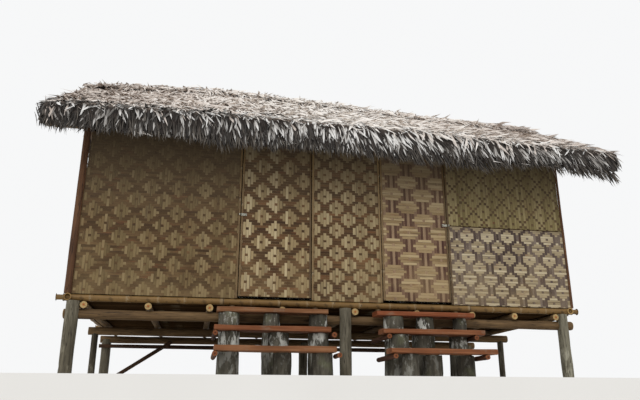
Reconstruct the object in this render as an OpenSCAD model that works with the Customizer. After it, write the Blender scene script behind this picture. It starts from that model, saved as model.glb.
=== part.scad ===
// A small house on posts: woven split-bamboo walls in a frame of round poles,
// a palm-leaf thatch roof, two doors and two plank steps laid on log stumps.
// X runs along the front wall, Y into the house and Z up, in millimetres.
// Heights count from the ground, which the posts, logs and brace stand on.

/* [House] */
// Length of the front wall
house_w = 5600; // [5500:10:5800]
// Depth of the house over its woven walls
house_d = 2800; // [2600:10:3200]
// Height of the foot of the walls over the ground
wall_z = 810; // [790:5:860]
// Height of the front and rear walls
wall_h = 1865; // [1800:5:1900]
// Thickness of a woven wall
wall_t = 12; // [8:1:14]
// Lean of the left end of the house, in degrees
left_lean = 2.5; // [0:0.5:3]

/* [Doors] */
// Left door opening, from the left end of the front wall
left_door_x = 1720; // [1660:5:1760]
// Width of the left door opening
left_door_w = 800; // [760:5:840]
// Right door opening, from the left end of the front wall
right_door_x = 3320; // [3280:5:3360]
// Width of the right door opening
right_door_w = 810; // [760:5:840]
// Height of the wall over the door leaves
over_door = 115; // [110:5:160]
// Gap at the sides and top of a door leaf
door_gap = 8; // [7:1:10]
// Gap under a door leaf
door_lift = 25; // [15:1:40]
// Thickness of the battens on the back of a leaf
batten_t = 25; // [20:1:28]
// Width of the battens on the back of a leaf
batten_w = 45; // [35:1:60]
// Width of the split strips that edge the panels
strip_w = 22; // [15:1:30]
// Thickness of the split strips
strip_t = 8; // [5:1:10]
// Height of the door heads
head_t = 30; // [20:1:36]

/* [Door fittings] */
// Diameter of the hinge pins
pin_d = 10; // [8:1:12]
// Outer diameter of the hinge eyes
eye_d = 18; // [16:1:20]
// Height of the hinge eyes and straps
eye_h = 30; // [20:1:40]
// Length of the hinge straps
strap_l = 240; // [150:5:400]
// Thickness of the straps and plates
iron_t = 4; // [3:0.5:5]
// Lower hinge over the foot of the walls
low_hinge = 260; // [200:5:400]
// Upper hinge over the foot of the walls
high_hinge = 1490; // [1300:5:1600]
// Height of the hasp over the foot of the walls
hasp_h = 920; // [850:5:1000]
// Length of the hasp plate
hasp_l = 60; // [40:1:80]
// Height of the hasp plate
hasp_w = 26; // [20:1:30]
// Diameter of the wire in the hasp's ring and the staple
ring_d = 6; // [4:1:7]

/* [Posts and beams] */
// Diameter of the round posts
post_d = 130; // [110:2:140]
// Width of the squared post at the right
square_post = 90; // [84:2:110]
// Depth of the squared post
square_post_deep = 112; // [104:2:120]
// Diameter of the thinner posts in the middle row
prop_d = 80; // [70:2:100]
// Front left post, from the left end of the front wall
left_post_x = 85; // [80:1:90]
// Front middle post, from the left end of the front wall
middle_post_x = 2890; // [2880:5:2900]
// Right posts, in from the right end of the front wall
right_post_in = 100; // [95:1:110]
// Squared post, in from the right end of the front wall
square_post_in = 135; // [125:1:140]
// Middle row of posts, behind the front wall
middle_row_y = 1650; // [1500:10:1800]
// Diameter of the beams along the house
beam_d = 100; // [90:2:110]
// Front and rear beams, in from the walls' faces
beam_in = 45; // [40:1:50]
// Diameter of the joists
joist_d = 75; // [65:1:80]
// Reach of the joists past the walls' faces
joist_reach = 25; // [15:1:30]
// Diameter of the sill poles
sill_d = 75; // [65:1:80]
// Sill poles, in from the walls' faces
sill_in = 30; // [28:1:34]
// Reach of the long sills past the end walls
sill_reach = 20; // [10:1:40]
// Thickness of the floor
deck_t = 25; // [15:1:30]
// Diameter of the rail on the rear posts
rail_d = 55; // [45:1:60]
// Length of the rail on the rear posts
rail_l = 4150; // [4000:10:4300]
// Height of the rail's middle over the ground
rail_z = 510; // [480:5:520]
// Diameter of the rear brace
brace_d = 42; // [35:1:50]
// Foot of the rear brace, from the left end of the house
brace_x = 130; // [110:5:160]
// Reach of the rear brace along the house
brace_run = 860; // [800:10:950]

/* [Wall and roof frame] */
// Diameter of the wall posts, ties and plates
pole_d = 80; // [76:1:84]
// How far the wall plates' middle lies below the top of the walls
plate_drop = 5; // [0:1:10]
// Diameter of the ridge pole and king posts
ridge_d = 70; // [60:1:80]
// Diameter of the rafters
rafter_d = 50; // [45:1:55]
// Number of rafters on a slope between the end walls
rafters_n = 9; // [7:1:10]
// Diameter of the laths that carry the thatch
lath_d = 30; // [25:1:35]
// Number of laths on a slope
laths_n = 7; // [5:1:9]
// Diameter of the corner strips
corner_d = 36; // [30:1:40]

/* [Roof] */
// Slope of the roof, in degrees
pitch = 32; // [30:0.5:34]
// Reach of the thatch in front of and behind the walls
eave_over = 500; // [460:10:560]
// Reach of the thatch past the left end
verge_left = 380; // [360:10:420]
// Reach of the thatch past the right end
verge_right = 570; // [540:10:620]
// Thickness of the thatch at the eaves
thatch_t = 195; // [185:5:205]
// How much thinner the eaves are at the right end
eave_fall = 65; // [50:5:75]
// Depth of the leaf fringe under the left end of the eaves
fringe = 60; // [40:5:80]
// How much deeper the fringe hangs at the right end
fringe_fall = 60; // [0:5:80]
// Number of leaf courses on a slope
courses = 8; // [6:1:10]
// Step from one leaf course to the next
course_step = 30; // [15:1:40]
// Reach of the ridge cap down each slope
cap_reach = 260; // [200:10:320]
// Thickness of the ridge cap
cap_t = 35; // [25:1:45]

/* [Steps] */
// Rise from tread to tread
rise = 212; // [200:2:216]
// Height of the top tread over the joists' undersides
tread_up = 32; // [20:2:40]
// Run from tread to tread
run = 250; // [246:2:260]
// Depth of a tread
tread_d = 200; // [180:5:210]
// Thickness of a tread
tread_t = 54; // [45:1:58]
// Left end of the left step
left_step_x = 1485; // [1470:5:1500]
// Length of the left step
left_step_l = 1150; // [1130:5:1170]
// Left end of the right step
right_step_x = 3175; // [3165:5:3190]
// Length of the right step
right_step_l = 1100; // [1080:5:1120]
// How far the top treads lie to the right of the lower ones
left_top_shift = 25; // [0:5:30]
right_top_shift = 10; // [0:5:15]
// Diameter of the bearers under the ends of the treads
bearer_d = 50; // [40:1:54]
// Reach of the left bearers past the back of their treads
bearer_reach = 420; // [300:10:450]

/* [Hidden] */
$fn = 48;

// Gap left where one piece lies on another
lay = 0.3;
// Extra length of a cutter past what it cuts
over = 20;
// Clearance round a hinge pin
pin_play = 0.08;
// Least gap between what moves and what does not
swing_gap = 5;
// Height of the seam between the two tiers of the right front wall
tier_seam = 920;
// Gap between a post and the joist beside it
post_gap = 4;
// Logs under each step, row by row from the wall: place along the step, foot and top diameter
left_logs = [[[150, 230, 224], [590, 196, 186], [1082, 196, 190]],
             [[158, 194, 184], [642, 224, 214], [1050, 222, 214]],
             [[148, 206, 202], [655, 188, 178], [1048, 218, 210]]];
right_logs = [[[220, 226, 214], [575, 204, 196], [985, 170, 160]],
              [[190, 276, 200], [470, 204, 196], [880, 206, 196]],
              [[222, 190, 168], [500, 204, 196], [870, 200, 190]]];

// Places worked out from the sizes above
log_back = beam_in - beam_d / 2 - lay;
step_back = -joist_reach - lay;
step_front = step_back - 2 * run - tread_d;
plan_x = (house_w + verge_right - verge_left) / 2;
plan_y = (step_front + house_d + eave_over) / 2;
sill_z = wall_z - lay - sill_d / 2;
joist_z = sill_z - sill_d / 2 - lay - joist_d / 2;
beam_z = joist_z - joist_d / 2 - lay - beam_d / 2;
deck_z = joist_z + joist_d / 2 + lay;
frame_in = wall_t + lay + pole_d / 2;
plate_z = wall_z + wall_h - plate_drop;
door_top = wall_h - over_door;
tie_z = plate_z - pole_d - lay;
jamb_in = door_gap + pole_d / 2;
left_door_end = left_door_x + left_door_w;
right_door_end = right_door_x + right_door_w;
right_post_x = house_w - right_post_in;
square_post_x = house_w - square_post_in;
beside_post = post_d / 2 + post_gap + joist_d / 2;
// Where the joists lie: one beside each front post, the others placed by hand between them
joist_x = [left_post_x + beside_post, 820, 1440, 2200, middle_post_x + beside_post, 3700, 4350, 4865,
           square_post_x - square_post / 2 - post_gap - joist_d / 2];
jamb_x = [left_door_x - jamb_in, left_door_end + jamb_in,
          right_door_x - jamb_in, right_door_end + jamb_in];
left_pivot_x = left_door_end - door_gap;
right_pivot_x = right_door_x + door_gap;
pivot_y = wall_t + batten_t + eye_d / 2;

rafter_off = pole_d / 2 + lay + rafter_d / 2;
lath_off = rafter_off + rafter_d / 2 + lay + lath_d / 2;
thatch_off = lath_off + lath_d / 2 + lay;
ridge_y = house_d / 2;
// Height of a line parallel to the front slope, off above the plate's middle, at depth y
function slope_z(y, off) = plate_z + (y - frame_in) * tan(pitch) + off / cos(pitch);
ridge_z = slope_z(ridge_y, rafter_off) - (rafter_d / 2 + lay + ridge_d / 2) / cos(pitch);
// Place along X, at a height over the wall's foot, of what leans with the left end at x
function lean_x(x, h) = (x + h * sin(left_lean)) / cos(left_lean);

// Shifts a piece so that the middle of the whole plan is the origin
module in_plan() {
    translate([-plan_x, -plan_y, 0]) children();
}

// Leans a piece with the left end of the house, about the wall's foot
module leaned() {
    translate([0, 0, wall_z]) rotate([0, left_lean, 0]) translate([0, 0, -wall_z]) children();
}

// Mirrors a piece from the front to the rear of the house
module at_rear() {
    translate([0, house_d, 0]) mirror([0, 1, 0]) children();
}

// Round pole along X
module pole_x(d, x0, x1, y, z) {
    translate([x0, y, z]) rotate([0, 90, 0]) cylinder(d = d, h = x1 - x0);
}

// Round pole along Y
module pole_y(d, x, y0, y1, z) {
    translate([x, y0, z]) rotate([-90, 0, 0]) cylinder(d = d, h = y1 - y0);
}

// Round pole standing up
module pole_z(d, x, y, z0, z1) {
    translate([x, y, z0]) cylinder(d = d, h = z1 - z0);
}

// Room cut for a long pole along X that another piece is seated on
module seat_x(d, y, z) {
    pole_x(d + 2 * lay, -verge_left - over, house_w + verge_right + over, y, z);
}

// Notch in the head of a front post: the beam lies in it and its front stands as a cheek
module beam_notch(x, w) {
    pole_x(beam_d + 2 * lay, x - w, x + w, beam_in, beam_z);
    translate([x - w, beam_in - beam_d / 2 - lay, beam_z]) cube([2 * w, beam_d + w, beam_d + joist_d]);
}

cheek_z = sill_z - sill_d / 2 - lay;

module front_round_posts() {
    color("dimgray") in_plan() for (x = [left_post_x, middle_post_x]) difference() {
        pole_z(post_d, x, 0, 0, cheek_z);
        beam_notch(x, post_d);
    }
}

module front_square_post() {
    color("gray") in_plan() difference() {
        translate([square_post_x - square_post / 2, -square_post_deep / 2, 0])
            cube([square_post, square_post_deep, cheek_z]);
        beam_notch(square_post_x, square_post);
    }
}

module middle_posts() {
    color("dimgray") in_plan() difference() {
        for (x = [left_post_x, middle_post_x, right_post_x])
            pole_z(prop_d, x, middle_row_y, 0, beam_z);
        seat_x(beam_d, middle_row_y, beam_z);
    }
}

module rear_posts() {
    color("dimgray") in_plan() difference() {
        for (x = [left_post_x, middle_post_x, right_post_x])
            pole_z(post_d, x, house_d - beam_in, 0, beam_z);
        seat_x(beam_d, house_d - beam_in, beam_z);
    }
}

module beams() {
    color("tan") in_plan() for (y = [beam_in, middle_row_y, house_d - beam_in])
        pole_x(beam_d, 0, house_w - lay, y, beam_z);
}

module joists() {
    color("burlywood") in_plan() for (x = joist_x)
        pole_y(joist_d, x, -joist_reach, house_d + joist_reach, joist_z);
}

rail_y = house_d - beam_in - post_d / 2 - lay - rail_d / 2;

module rear_rail() {
    color("saddlebrown") in_plan() pole_x(rail_d, 0, rail_l, rail_y, rail_z);
}

module rear_brace() {
    brace_y = rail_y - rail_d / 2 - lay - brace_d / 2;
    rise_to_rail = rail_z + rail_d;
    length = norm([brace_run, rise_to_rail]);
    color("saddlebrown") in_plan() difference() {
        translate([brace_x, brace_y, 0]) rotate([0, atan2(brace_run, rise_to_rail), 0])
            translate([0, 0, -brace_d]) cylinder(d = brace_d, h = length + brace_d);
        translate([brace_x - brace_run, brace_y - brace_d, -brace_d * 2])
            cube([2 * brace_run, 2 * brace_d, brace_d * 2]);
    }
}

module floor_deck() {
    edge = sill_in + sill_d / 2 + lay;
    color("peru") in_plan() translate([edge, edge, deck_z])
        cube([house_w - 2 * edge, house_d - 2 * edge, deck_t]);
}

// Sill poles: two long ones and, butted between them, two at the ends
module sills() {
    color("khaki") in_plan() {
        for (y = [sill_in, house_d - sill_in])
            pole_x(sill_d, -sill_reach, house_w + sill_reach, y, sill_z);
        difference() {
            for (x = [sill_in, house_w - sill_in])
                pole_y(sill_d, x, sill_in, house_d - sill_in, sill_z);
            for (y = [sill_in, house_d - sill_in]) seat_x(sill_d, y, sill_z);
        }
    }
}

// Cuts the feet of the wall posts to sit over the sills
module over_sills() {
    for (y = [sill_in, house_d - sill_in]) seat_x(sill_d, y, sill_z);
    for (x = [sill_in, house_w - sill_in]) pole_y(sill_d + 2 * lay, x, 0, house_d, sill_z);
}

// Cuts the heads of the wall posts to carry the tie beams
module under_ties() {
    for (x = tie_x) pole_y(pole_d + 2 * lay, x, -over, house_d + over, tie_z);
}

foot_z = wall_z - sill_d / 5;
tie_x = concat([lean_x(frame_in, tie_z - wall_z)], jamb_x, [house_w - frame_in]);
king_x = [jamb_x[1], jamb_x[2], house_w - frame_in];

module corner_posts() {
    color("rosybrown") in_plan() difference() {
        for (y = [frame_in, house_d - frame_in]) {
            leaned() pole_z(pole_d, frame_in, y, foot_z, tie_z);
            pole_z(pole_d, house_w - frame_in, y, foot_z, tie_z);
        }
        over_sills();
        under_ties();
    }
}

module door_posts() {
    color("rosybrown") in_plan() difference() {
        for (x = jamb_x) pole_z(pole_d, x, frame_in, foot_z, tie_z);
        over_sills();
        under_ties();
        for (z = [low_hinge, high_hinge]) {
            pintle_seat(left_pivot_x, 1, z);
            pintle_seat(right_pivot_x, -1, z);
        }
    }
}

module rear_studs() {
    color("rosybrown") in_plan() difference() {
        for (x = jamb_x) pole_z(pole_d, x, house_d - frame_in, foot_z, tie_z);
        over_sills();
        under_ties();
    }
}

module wall_plates() {
    color("tan") in_plan() for (y = [frame_in, house_d - frame_in])
        pole_x(pole_d, plate_in - verge_left, house_w + verge_right - plate_in, y, plate_z);
}

// How far the plates and the ridge pole stay back from the ends of the thatch
plate_in = 50;

module tie_beams() {
    color("tan") in_plan() for (x = tie_x)
        pole_y(pole_d, x, wall_t + lay, house_d - wall_t - lay, tie_z);
}

module king_posts() {
    color("tan") in_plan() difference() {
        union() {
            for (x = king_x) pole_z(ridge_d, x, ridge_y, tie_z, ridge_z);
            leaned() pole_z(ridge_d, frame_in, ridge_y, tie_z, ridge_z);
        }
        under_ties();
        seat_x(ridge_d, ridge_y, ridge_z);
    }
}

module ridge_pole() {
    color("tan") in_plan()
        pole_x(ridge_d, plate_in - verge_left, house_w + verge_right - plate_in, ridge_y, ridge_z);
}

// Rafters of the front slope, cut plumb at the ridge
first_rafter = 200;
last_rafter_in = 70;
last_rafter = house_w - last_rafter_in;
verge_rafter = 110;
rafter_x = concat([verge_rafter - verge_left],
    [for (i = [0 : rafters_n - 1]) first_rafter + i * (last_rafter - first_rafter) / (rafters_n - 1)],
    [house_w + verge_right - verge_rafter]);
// How far the rafters' and laths' ends stay back from the eaves
eave_in = 90;

module front_rafters() {
    length = (ridge_y + eave_over - eave_in) / cos(pitch);
    difference() {
        for (x = rafter_x) translate([x, ridge_y, slope_z(ridge_y, rafter_off)])
            rotate([90 + pitch, 0, 0]) translate([0, 0, -rafter_d]) cylinder(d = rafter_d, h = length + rafter_d);
        translate([-verge_left, ridge_y - lay / 2, wall_z])
            cube([house_w + verge_left + verge_right, ridge_y, ridge_z]);
    }
}

module rafters() {
    color("tan") in_plan() {
        front_rafters();
        at_rear() front_rafters();
    }
}

// Laths of the front slope, from near the ridge down to the eave
lath_end_in = 25;

module front_laths() {
    top_y = ridge_y - lath_d;
    low_y = eave_in - eave_over;
    for (i = [0 : laths_n - 1]) {
        y = top_y + (low_y - top_y) * i / (laths_n - 1);
        pole_x(lath_d, lath_end_in - verge_left, house_w + verge_right - lath_end_in,
               y, slope_z(y, lath_off));
    }
}

module thatch_laths() {
    color("tan") in_plan() {
        front_laths();
        at_rear() front_laths();
    }
}

// Thatch of the front slope, swept along the house from one cross-section to the next
roof_l = house_w + verge_left + verge_right;
// Thickness of the thatch along the ridge, in equal steps from the left end to the right
ridge_t = [150, 185, 210, 230, 200, 180, 140, 112, 92, 74, 55];
stations_n = len(ridge_t);
end_round = 90;
end_thin = 0.75;
station_x = concat([0, end_round],
    [for (i = [1 : stations_n - 2]) i * roof_l / (stations_n - 1)], [roof_l - end_round, roof_l]);
// Share of the full thickness at a station, thinner at the two ends
function thick_at(x) = (x == 0 || x == roof_l) ? end_thin : 1;
function ridge_at(x) = lookup(x, [for (i = [0 : stations_n - 1]) [i * roof_l / (stations_n - 1), ridge_t[i]]]);
// Thickness at the eaves, even as far as the middle and less from there to the right end
function eave_at(x) = thatch_t - eave_fall * max(0, 2 * x / roof_l - 1);
// Thickness of the thatch at station x and depth y
function thatch_at(x, y) = thick_at(x) *
    (eave_at(x) + (ridge_at(x) - eave_at(x)) * (y + eave_over) / (ridge_y + eave_over));
function thatch_point(x, y, t) = [x - verge_left, y, slope_z(y, thatch_off) + t / cos(pitch)];
function fringe_at(x) = fringe + fringe_fall * x / roof_l;
course_y = [for (k = [0 : courses]) -eave_over + k * (ridge_y - lay / 2 + eave_over) / courses];
butt_lean = 12;
lip_in = 25;
lip_t = 60;
// One cross-section, from the underside at the ridge round by the eave to the top
function thatch_section(x) = concat(
    [thatch_point(x, ridge_y - lay / 2, 0), thatch_point(x, lip_in - eave_over, 0),
     thatch_point(x, -eave_over, thatch_at(x, -eave_over))],
    [for (k = [1 : courses - 1]) for (j = [0, 1])
        thatch_point(x, course_y[k] + (1 - j) * butt_lean,
                     thatch_at(x, course_y[k]) - (1 - j) * course_step * thick_at(x))],
    [thatch_point(x, ridge_y - lay / 2, thatch_at(x, ridge_y))]);

// Fringe of leaves under the eave, from its inner lower edge round to its inner upper one
function fringe_section(x) = [
    thatch_point(x, lip_t - eave_over, 0) - [0, 0, fringe_at(x)],
    thatch_point(x, lip_in - eave_over, 0) - [0, 0, fringe_at(x)],
    thatch_point(x, lip_in - eave_over, -lay), thatch_point(x, lip_t - eave_over, -lay)];

// Skin over a row of closed sections with the same number of points
module swept(sections) {
    n = len(sections[0]);
    m = len(sections);
    polyhedron(
        points = [for (s = sections) for (p = s) p],
        faces = concat(
            [[for (j = [0 : n - 1]) j]],
            [for (i = [0 : m - 2]) for (j = [0 : n - 1]) for (half = [0, 1])
                half == 0 ? [i * n + j, (i + 1) * n + j, (i + 1) * n + (j + 1) % n]
                          : [i * n + j, (i + 1) * n + (j + 1) % n, i * n + (j + 1) % n]],
            [[for (j = [n - 1 : -1 : 0]) (m - 1) * n + j]]));
}

module thatch_slope() {
    swept([for (x = station_x) thatch_section(x)]);
    swept([for (x = station_x) fringe_section(x)]);
}

module front_thatch() {
    color("rosybrown") in_plan() thatch_slope();
}

module rear_thatch() {
    color("rosybrown") in_plan() at_rear() thatch_slope();
}

// Underside of the cap at station x: it rests on the thatch at the ridge or at its lower edge
function cap_base(x) = max(thatch_at(x, ridge_y), thatch_at(x, ridge_y - cap_reach)) + lay;
// Place on the cap of the front slope, reach down from the ridge and t over its underside
function cap_point(x, reach, t) = thatch_point(x, ridge_y - reach, cap_base(x) + t * thick_at(x));
function cap_section(x) = [
    cap_point(x, lay / 2, 0), cap_point(x, cap_reach, 0),
    cap_point(x, cap_reach, cap_t / 2), cap_point(x, lay / 2, cap_t)];

module cap_half() {
    swept([for (x = station_x) cap_section(x)]);
}

module ridge_cap() {
    color("rosybrown") in_plan() {
        cap_half();
        at_rear() cap_half();
    }
}

// Woven panel of the front wall between two edges, given over the foot of the walls
module front_panel(x0_low, x0_high, x1, z0, z1) {
    translate([0, wall_t, wall_z]) rotate([90, 0, 0]) linear_extrude(wall_t)
        polygon([[x0_low, z0], [x1, z0], [x1, z1], [x0_high, z1]]);
}

module front_wall_left() {
    color("sienna") in_plan()
        front_panel(lean_x(0, 0), lean_x(0, wall_h), left_door_x, 0, wall_h);
}

module front_wall_middle() {
    color("peru") in_plan() front_panel(left_door_end, left_door_end, right_door_x, 0, wall_h);
}

module front_wall_right_lower() {
    color("peru") in_plan()
        front_panel(right_door_end, right_door_end, house_w, 0, tier_seam - lay);
}

module front_wall_right_upper() {
    color("peru") in_plan() front_panel(right_door_end, right_door_end, house_w, tier_seam, wall_h);
}

module rear_wall() {
    color("peru") in_plan() at_rear()
        front_panel(lean_x(0, 0), lean_x(0, wall_h), house_w, 0, wall_h);
}

// Woven end wall with its gable, whose slopes stay under the laths
lath_gap = 8;
module end_panel() {
    y0 = wall_t + lay;
    top = rafter_off + rafter_d / 2 - lath_gap;
    rotate([90, 0, 90]) linear_extrude(wall_t)
        polygon([[y0, wall_z], [house_d - y0, wall_z], [house_d - y0, slope_z(y0, top)],
                 [ridge_y, slope_z(ridge_y, top)], [y0, slope_z(y0, top)]]);
}

// Room for the plates and the ridge pole where they pass through an end wall
module pole_passages() {
    for (y = [frame_in, house_d - frame_in]) seat_x(pole_d, y, plate_z);
    seat_x(ridge_d, ridge_y, ridge_z);
}

module left_wall() {
    color("sienna") in_plan() difference() {
        leaned() end_panel();
        pole_passages();
        over_sills();
    }
}

module right_wall() {
    color("sienna") in_plan() difference() {
        translate([house_w - wall_t, 0, 0]) end_panel();
        pole_passages();
    }
}

module corner_strips() {
    out = corner_d / 2 + lay;
    top = plate_z - pole_d / 2 - lay;
    color("saddlebrown") in_plan() for (y = [wall_t / 2, house_d - wall_t / 2]) {
        leaned() pole_z(corner_d, -out, y, wall_z, top);
        pole_z(corner_d, house_w + out, y, wall_z, top);
    }
}

// Split strip on the face of the front wall, half round on its outer side
module face_strip(x0, z0, z1) {
    translate([x0, 0, wall_z + z0]) linear_extrude(z1 - z0)
        polygon([[0, 0], [strip_w / 6, -strip_t], [strip_w * 5 / 6, -strip_t], [strip_w, 0]]);
}

module jamb_strips() {
    color("tan") in_plan() {
        for (x = [left_door_x, right_door_x]) face_strip(x - strip_w, 0, wall_h);
        for (x = [left_door_end, right_door_end]) face_strip(x, 0, wall_h);
    }
}

module door_heads() {
    z0 = wall_z + door_top + door_gap;
    color("saddlebrown") in_plan() difference() {
        for (i = [0, 2]) translate([jamb_x[i], wall_t + lay, z0])
            cube([jamb_x[i + 1] - jamb_x[i], head_t, plate_z - pole_d / 2 - lay - z0]);
        for (x = jamb_x) pole_z(pole_d + 2 * lay, x, frame_in, wall_z, plate_z);
        for (x = jamb_x) pole_y(pole_d + 2 * lay, x, 0, house_d, tie_z);
    }
}

// Woven leaf of a door in its opening
module leaf(x, w) {
    translate([x + door_gap, 0, wall_z + door_lift])
        cube([w - 2 * door_gap, wall_t, door_top - door_lift]);
}

// Battens on the back of a leaf and split strips down its front edges
module leaf_frame(x, w) {
    x0 = x + door_gap;
    x1 = x + w - door_gap;
    h = door_top - door_lift;
    z0 = wall_z + door_lift;
    for (xs = [x0, x1 - batten_w]) translate([xs, wall_t, z0]) cube([batten_w, batten_t, h]);
    for (zs = [0, (h - batten_w) / 2, h - batten_w])
        translate([x0 + batten_w, wall_t, z0 + zs]) cube([x1 - x0 - 2 * batten_w, batten_t, batten_w]);
    for (xs = [x0, x1 - strip_w]) face_strip(xs, door_lift, door_top);
}

// Eye and strap of one hinge, the strap running to the side that dir points away from
module hinge_strap(px, dir, z) {
    difference() {
        union() {
            translate([px, pivot_y, z]) cylinder(d = eye_d, h = eye_h);
            translate([dir > 0 ? px - strap_l : px, wall_t + batten_t, z]) cube([strap_l, iron_t, eye_h]);
        }
        translate([px, pivot_y, z - over]) cylinder(d = pin_d + 2 * pin_play, h = eye_h + 2 * over);
    }
}

// Pin on its arm and plate, let into the door post
plate_h_iron = 70;
plate_w_iron = 30;
module pintle(px, dir, z) {
    face = px + dir * (eye_d / 2 + swing_gap);
    arm_t = pin_d;
    translate([px, pivot_y, z - arm_t - lay]) cylinder(d = pin_d, h = arm_t + lay + eye_h);
    translate([min(px, face), pivot_y - pin_d / 2, z - arm_t - lay]) cube([abs(face - px), pin_d, arm_t]);
    translate([min(face, face + dir * iron_t), pivot_y - plate_w_iron / 2, z - plate_h_iron / 2])
        cube([iron_t, plate_w_iron, plate_h_iron]);
}

// Room for a pintle's plate in the side of a door post, given over the foot of the walls
module pintle_seat(px, dir, z) {
    face = px + dir * (eye_d / 2 + swing_gap);
    far = face + dir * (iron_t + lay);
    translate([min(face - dir * over, far), pivot_y - plate_w_iron / 2 - lay,
               wall_z + z - plate_h_iron / 2 - lay])
        cube([abs(far - face) + over, plate_w_iron + 2 * lay, plate_h_iron + 2 * lay]);
}

// Hasp plate with a ring, on the edge of a leaf away from its hinges
module hasp(x0, ring_x) {
    translate([x0, -strip_t - iron_t, wall_z + hasp_h - hasp_w / 2]) cube([hasp_l, iron_t, hasp_w]);
    translate([ring_x, -strip_t - iron_t, wall_z + hasp_h]) rotate([90, 0, 0])
        cylinder(d = ring_d * 2, h = ring_d * 2);
}

module left_door_leaf() {
    color("peru") in_plan() leaf(left_door_x, left_door_w);
}

module left_door_frame() {
    color("tan") in_plan() leaf_frame(left_door_x, left_door_w);
}

module left_door_fittings() {
    color("silver") in_plan() {
        for (z = [low_hinge, high_hinge]) hinge_strap(left_pivot_x, 1, wall_z + z);
        hasp(left_door_x + door_gap, left_door_x + door_gap + hasp_l - ring_d * 2);
    }
}

module right_door_leaf() {
    color("peru") in_plan() leaf(right_door_x, right_door_w);
}

module right_door_frame() {
    color("tan") in_plan() leaf_frame(right_door_x, right_door_w);
}

module right_door_fittings() {
    color("silver") in_plan() {
        for (z = [low_hinge, high_hinge]) hinge_strap(right_pivot_x, -1, wall_z + z);
        hasp(right_door_end - door_gap - hasp_l, right_door_end - door_gap - hasp_l + ring_d * 2);
    }
}

module hinge_pintles() {
    color("silver") in_plan() for (z = [low_hinge, high_hinge]) {
        pintle(left_pivot_x, 1, wall_z + z);
        pintle(right_pivot_x, -1, wall_z + z);
    }
}

// Staples on the fixed strips beside the two hasps
module door_staples() {
    color("silver") in_plan() for (x = [left_door_x - strip_w / 2, right_door_end + strip_w / 2])
        translate([x, -strip_t, wall_z + hasp_h]) rotate([90, 0, 0]) difference() {
            translate([-ring_d, -ring_d * 1.5, 0]) cube([ring_d * 2, ring_d * 3, ring_d * 3]);
            translate([-over, 0, ring_d * 1.5]) rotate([0, 90, 0]) cylinder(d = ring_d * 1.5, h = 2 * over);
        }
}

// Height of the top of a tread and its front edge; tread 0 lies against the joist ends
function tread_z(i) = joist_z - joist_d / 2 + tread_up - i * rise;
function tread_y(i) = step_back - i * run - tread_d;
edge_cut = 5;

module treads(x, l, top_shift) {
    for (i = [0 : 2]) translate([x + (i == 0 ? top_shift : 0), tread_y(i), tread_z(i) - tread_t])
        rotate([90, 0, 90]) linear_extrude(l)
        polygon([[0, edge_cut], [edge_cut, 0], [tread_d, 0], [tread_d, tread_t],
                 [edge_cut, tread_t], [0, tread_t - edge_cut]]);
}

// Depth of a log's middle: the rear logs stand against the beam, the others against the log behind
function log_y(rows, i, c) = i == 0 ? log_back - rows[0][c][1] / 2 :
    log_y(rows, i - 1, c) - sqrt(pow((rows[i][c][1] + rows[i - 1][c][1]) / 2 + lay, 2)
                                 - pow(rows[i][c][0] - rows[i - 1][c][0], 2));

// Length of the logs of a row, and the radius of one of them at a height over the ground
function log_h(i) = tread_z(i) - tread_t - lay;
function log_r(log, i, z) = (log[1] + (log[2] - log[1]) * z / log_h(i)) / 2;

// Log stumps of a step, row by row under its treads
module logs(x, rows) {
    for (i = [0 : 2]) for (c = [0 : 2]) {
        log = rows[i][c];
        translate([x + log[0], log_y(rows, i, c), 0])
            cylinder(d1 = log[1], d2 = log[2], h = log_h(i));
    }
}

// Bearers at the sides of the outer logs, under the ends of the two lower treads; the left
// ones run on under the house, and the right ones end just past the middle of their log
bearer_past = 20;
module bearers(x, rows) {
    for (i = [1, 2]) {
        z = log_h(i) - bearer_d / 2;
        y0 = tread_y(i) + edge_cut;
        left_edge = min([for (j = [0 : i]) rows[j][0][0] - log_r(rows[j][0], j, z)]);
        right_edge = rows[i][2][0] + log_r(rows[i][2], i, z);
        side = lay + bearer_d / 2;
        pole_y(bearer_d, x + left_edge - side, y0, tread_y(i) + tread_d + bearer_reach, z);
        y1 = max(tread_y(i) + tread_d, log_y(rows, i, 2) + bearer_past);
        pole_y(bearer_d, x + right_edge + side, y0, y1, z);
    }
}

module left_step_treads() {
    color("chocolate") in_plan() treads(left_step_x, left_step_l, left_top_shift);
}

module left_step_logs() {
    color("gray") in_plan() logs(left_step_x, left_logs);
}

module right_step_treads() {
    color("chocolate") in_plan() treads(right_step_x, right_step_l, right_top_shift);
}

module right_step_logs() {
    color("gray") in_plan() logs(right_step_x, right_logs);
}

module step_bearers() {
    color("brown") in_plan() {
        bearers(left_step_x, left_logs);
        bearers(right_step_x, right_logs);
    }
}

front_round_posts();
front_square_post();
middle_posts();
rear_posts();
beams();
joists();
rear_rail();
rear_brace();
floor_deck();
sills();
corner_posts();
door_posts();
rear_studs();
wall_plates();
tie_beams();
king_posts();
ridge_pole();
rafters();
thatch_laths();
front_thatch();
rear_thatch();
ridge_cap();
front_wall_left();
front_wall_middle();
front_wall_right_lower();
front_wall_right_upper();
left_wall();
right_wall();
rear_wall();
corner_strips();
jamb_strips();
door_heads();
left_door_leaf();
left_door_frame();
left_door_fittings();
right_door_leaf();
right_door_frame();
right_door_fittings();
hinge_pintles();
door_staples();
left_step_treads();
left_step_logs();
right_step_treads();
right_step_logs();
step_bearers();
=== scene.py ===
# %% [markdown]
# # A stilt house with woven walls
# A small house stands on posts: a frame of round poles, walls of woven split bamboo, a thatch
# of palm leaves and two steps of planks laid on log stumps. The solids come from the packed
# model, which this lesson loads first and never moves. Everything after that is finish: the
# woven mats, thousands of leaves, bamboo with its nodes, bark and grain. The places of the new
# pieces are measured on those solids, so that each piece sits where the solid does.

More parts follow.
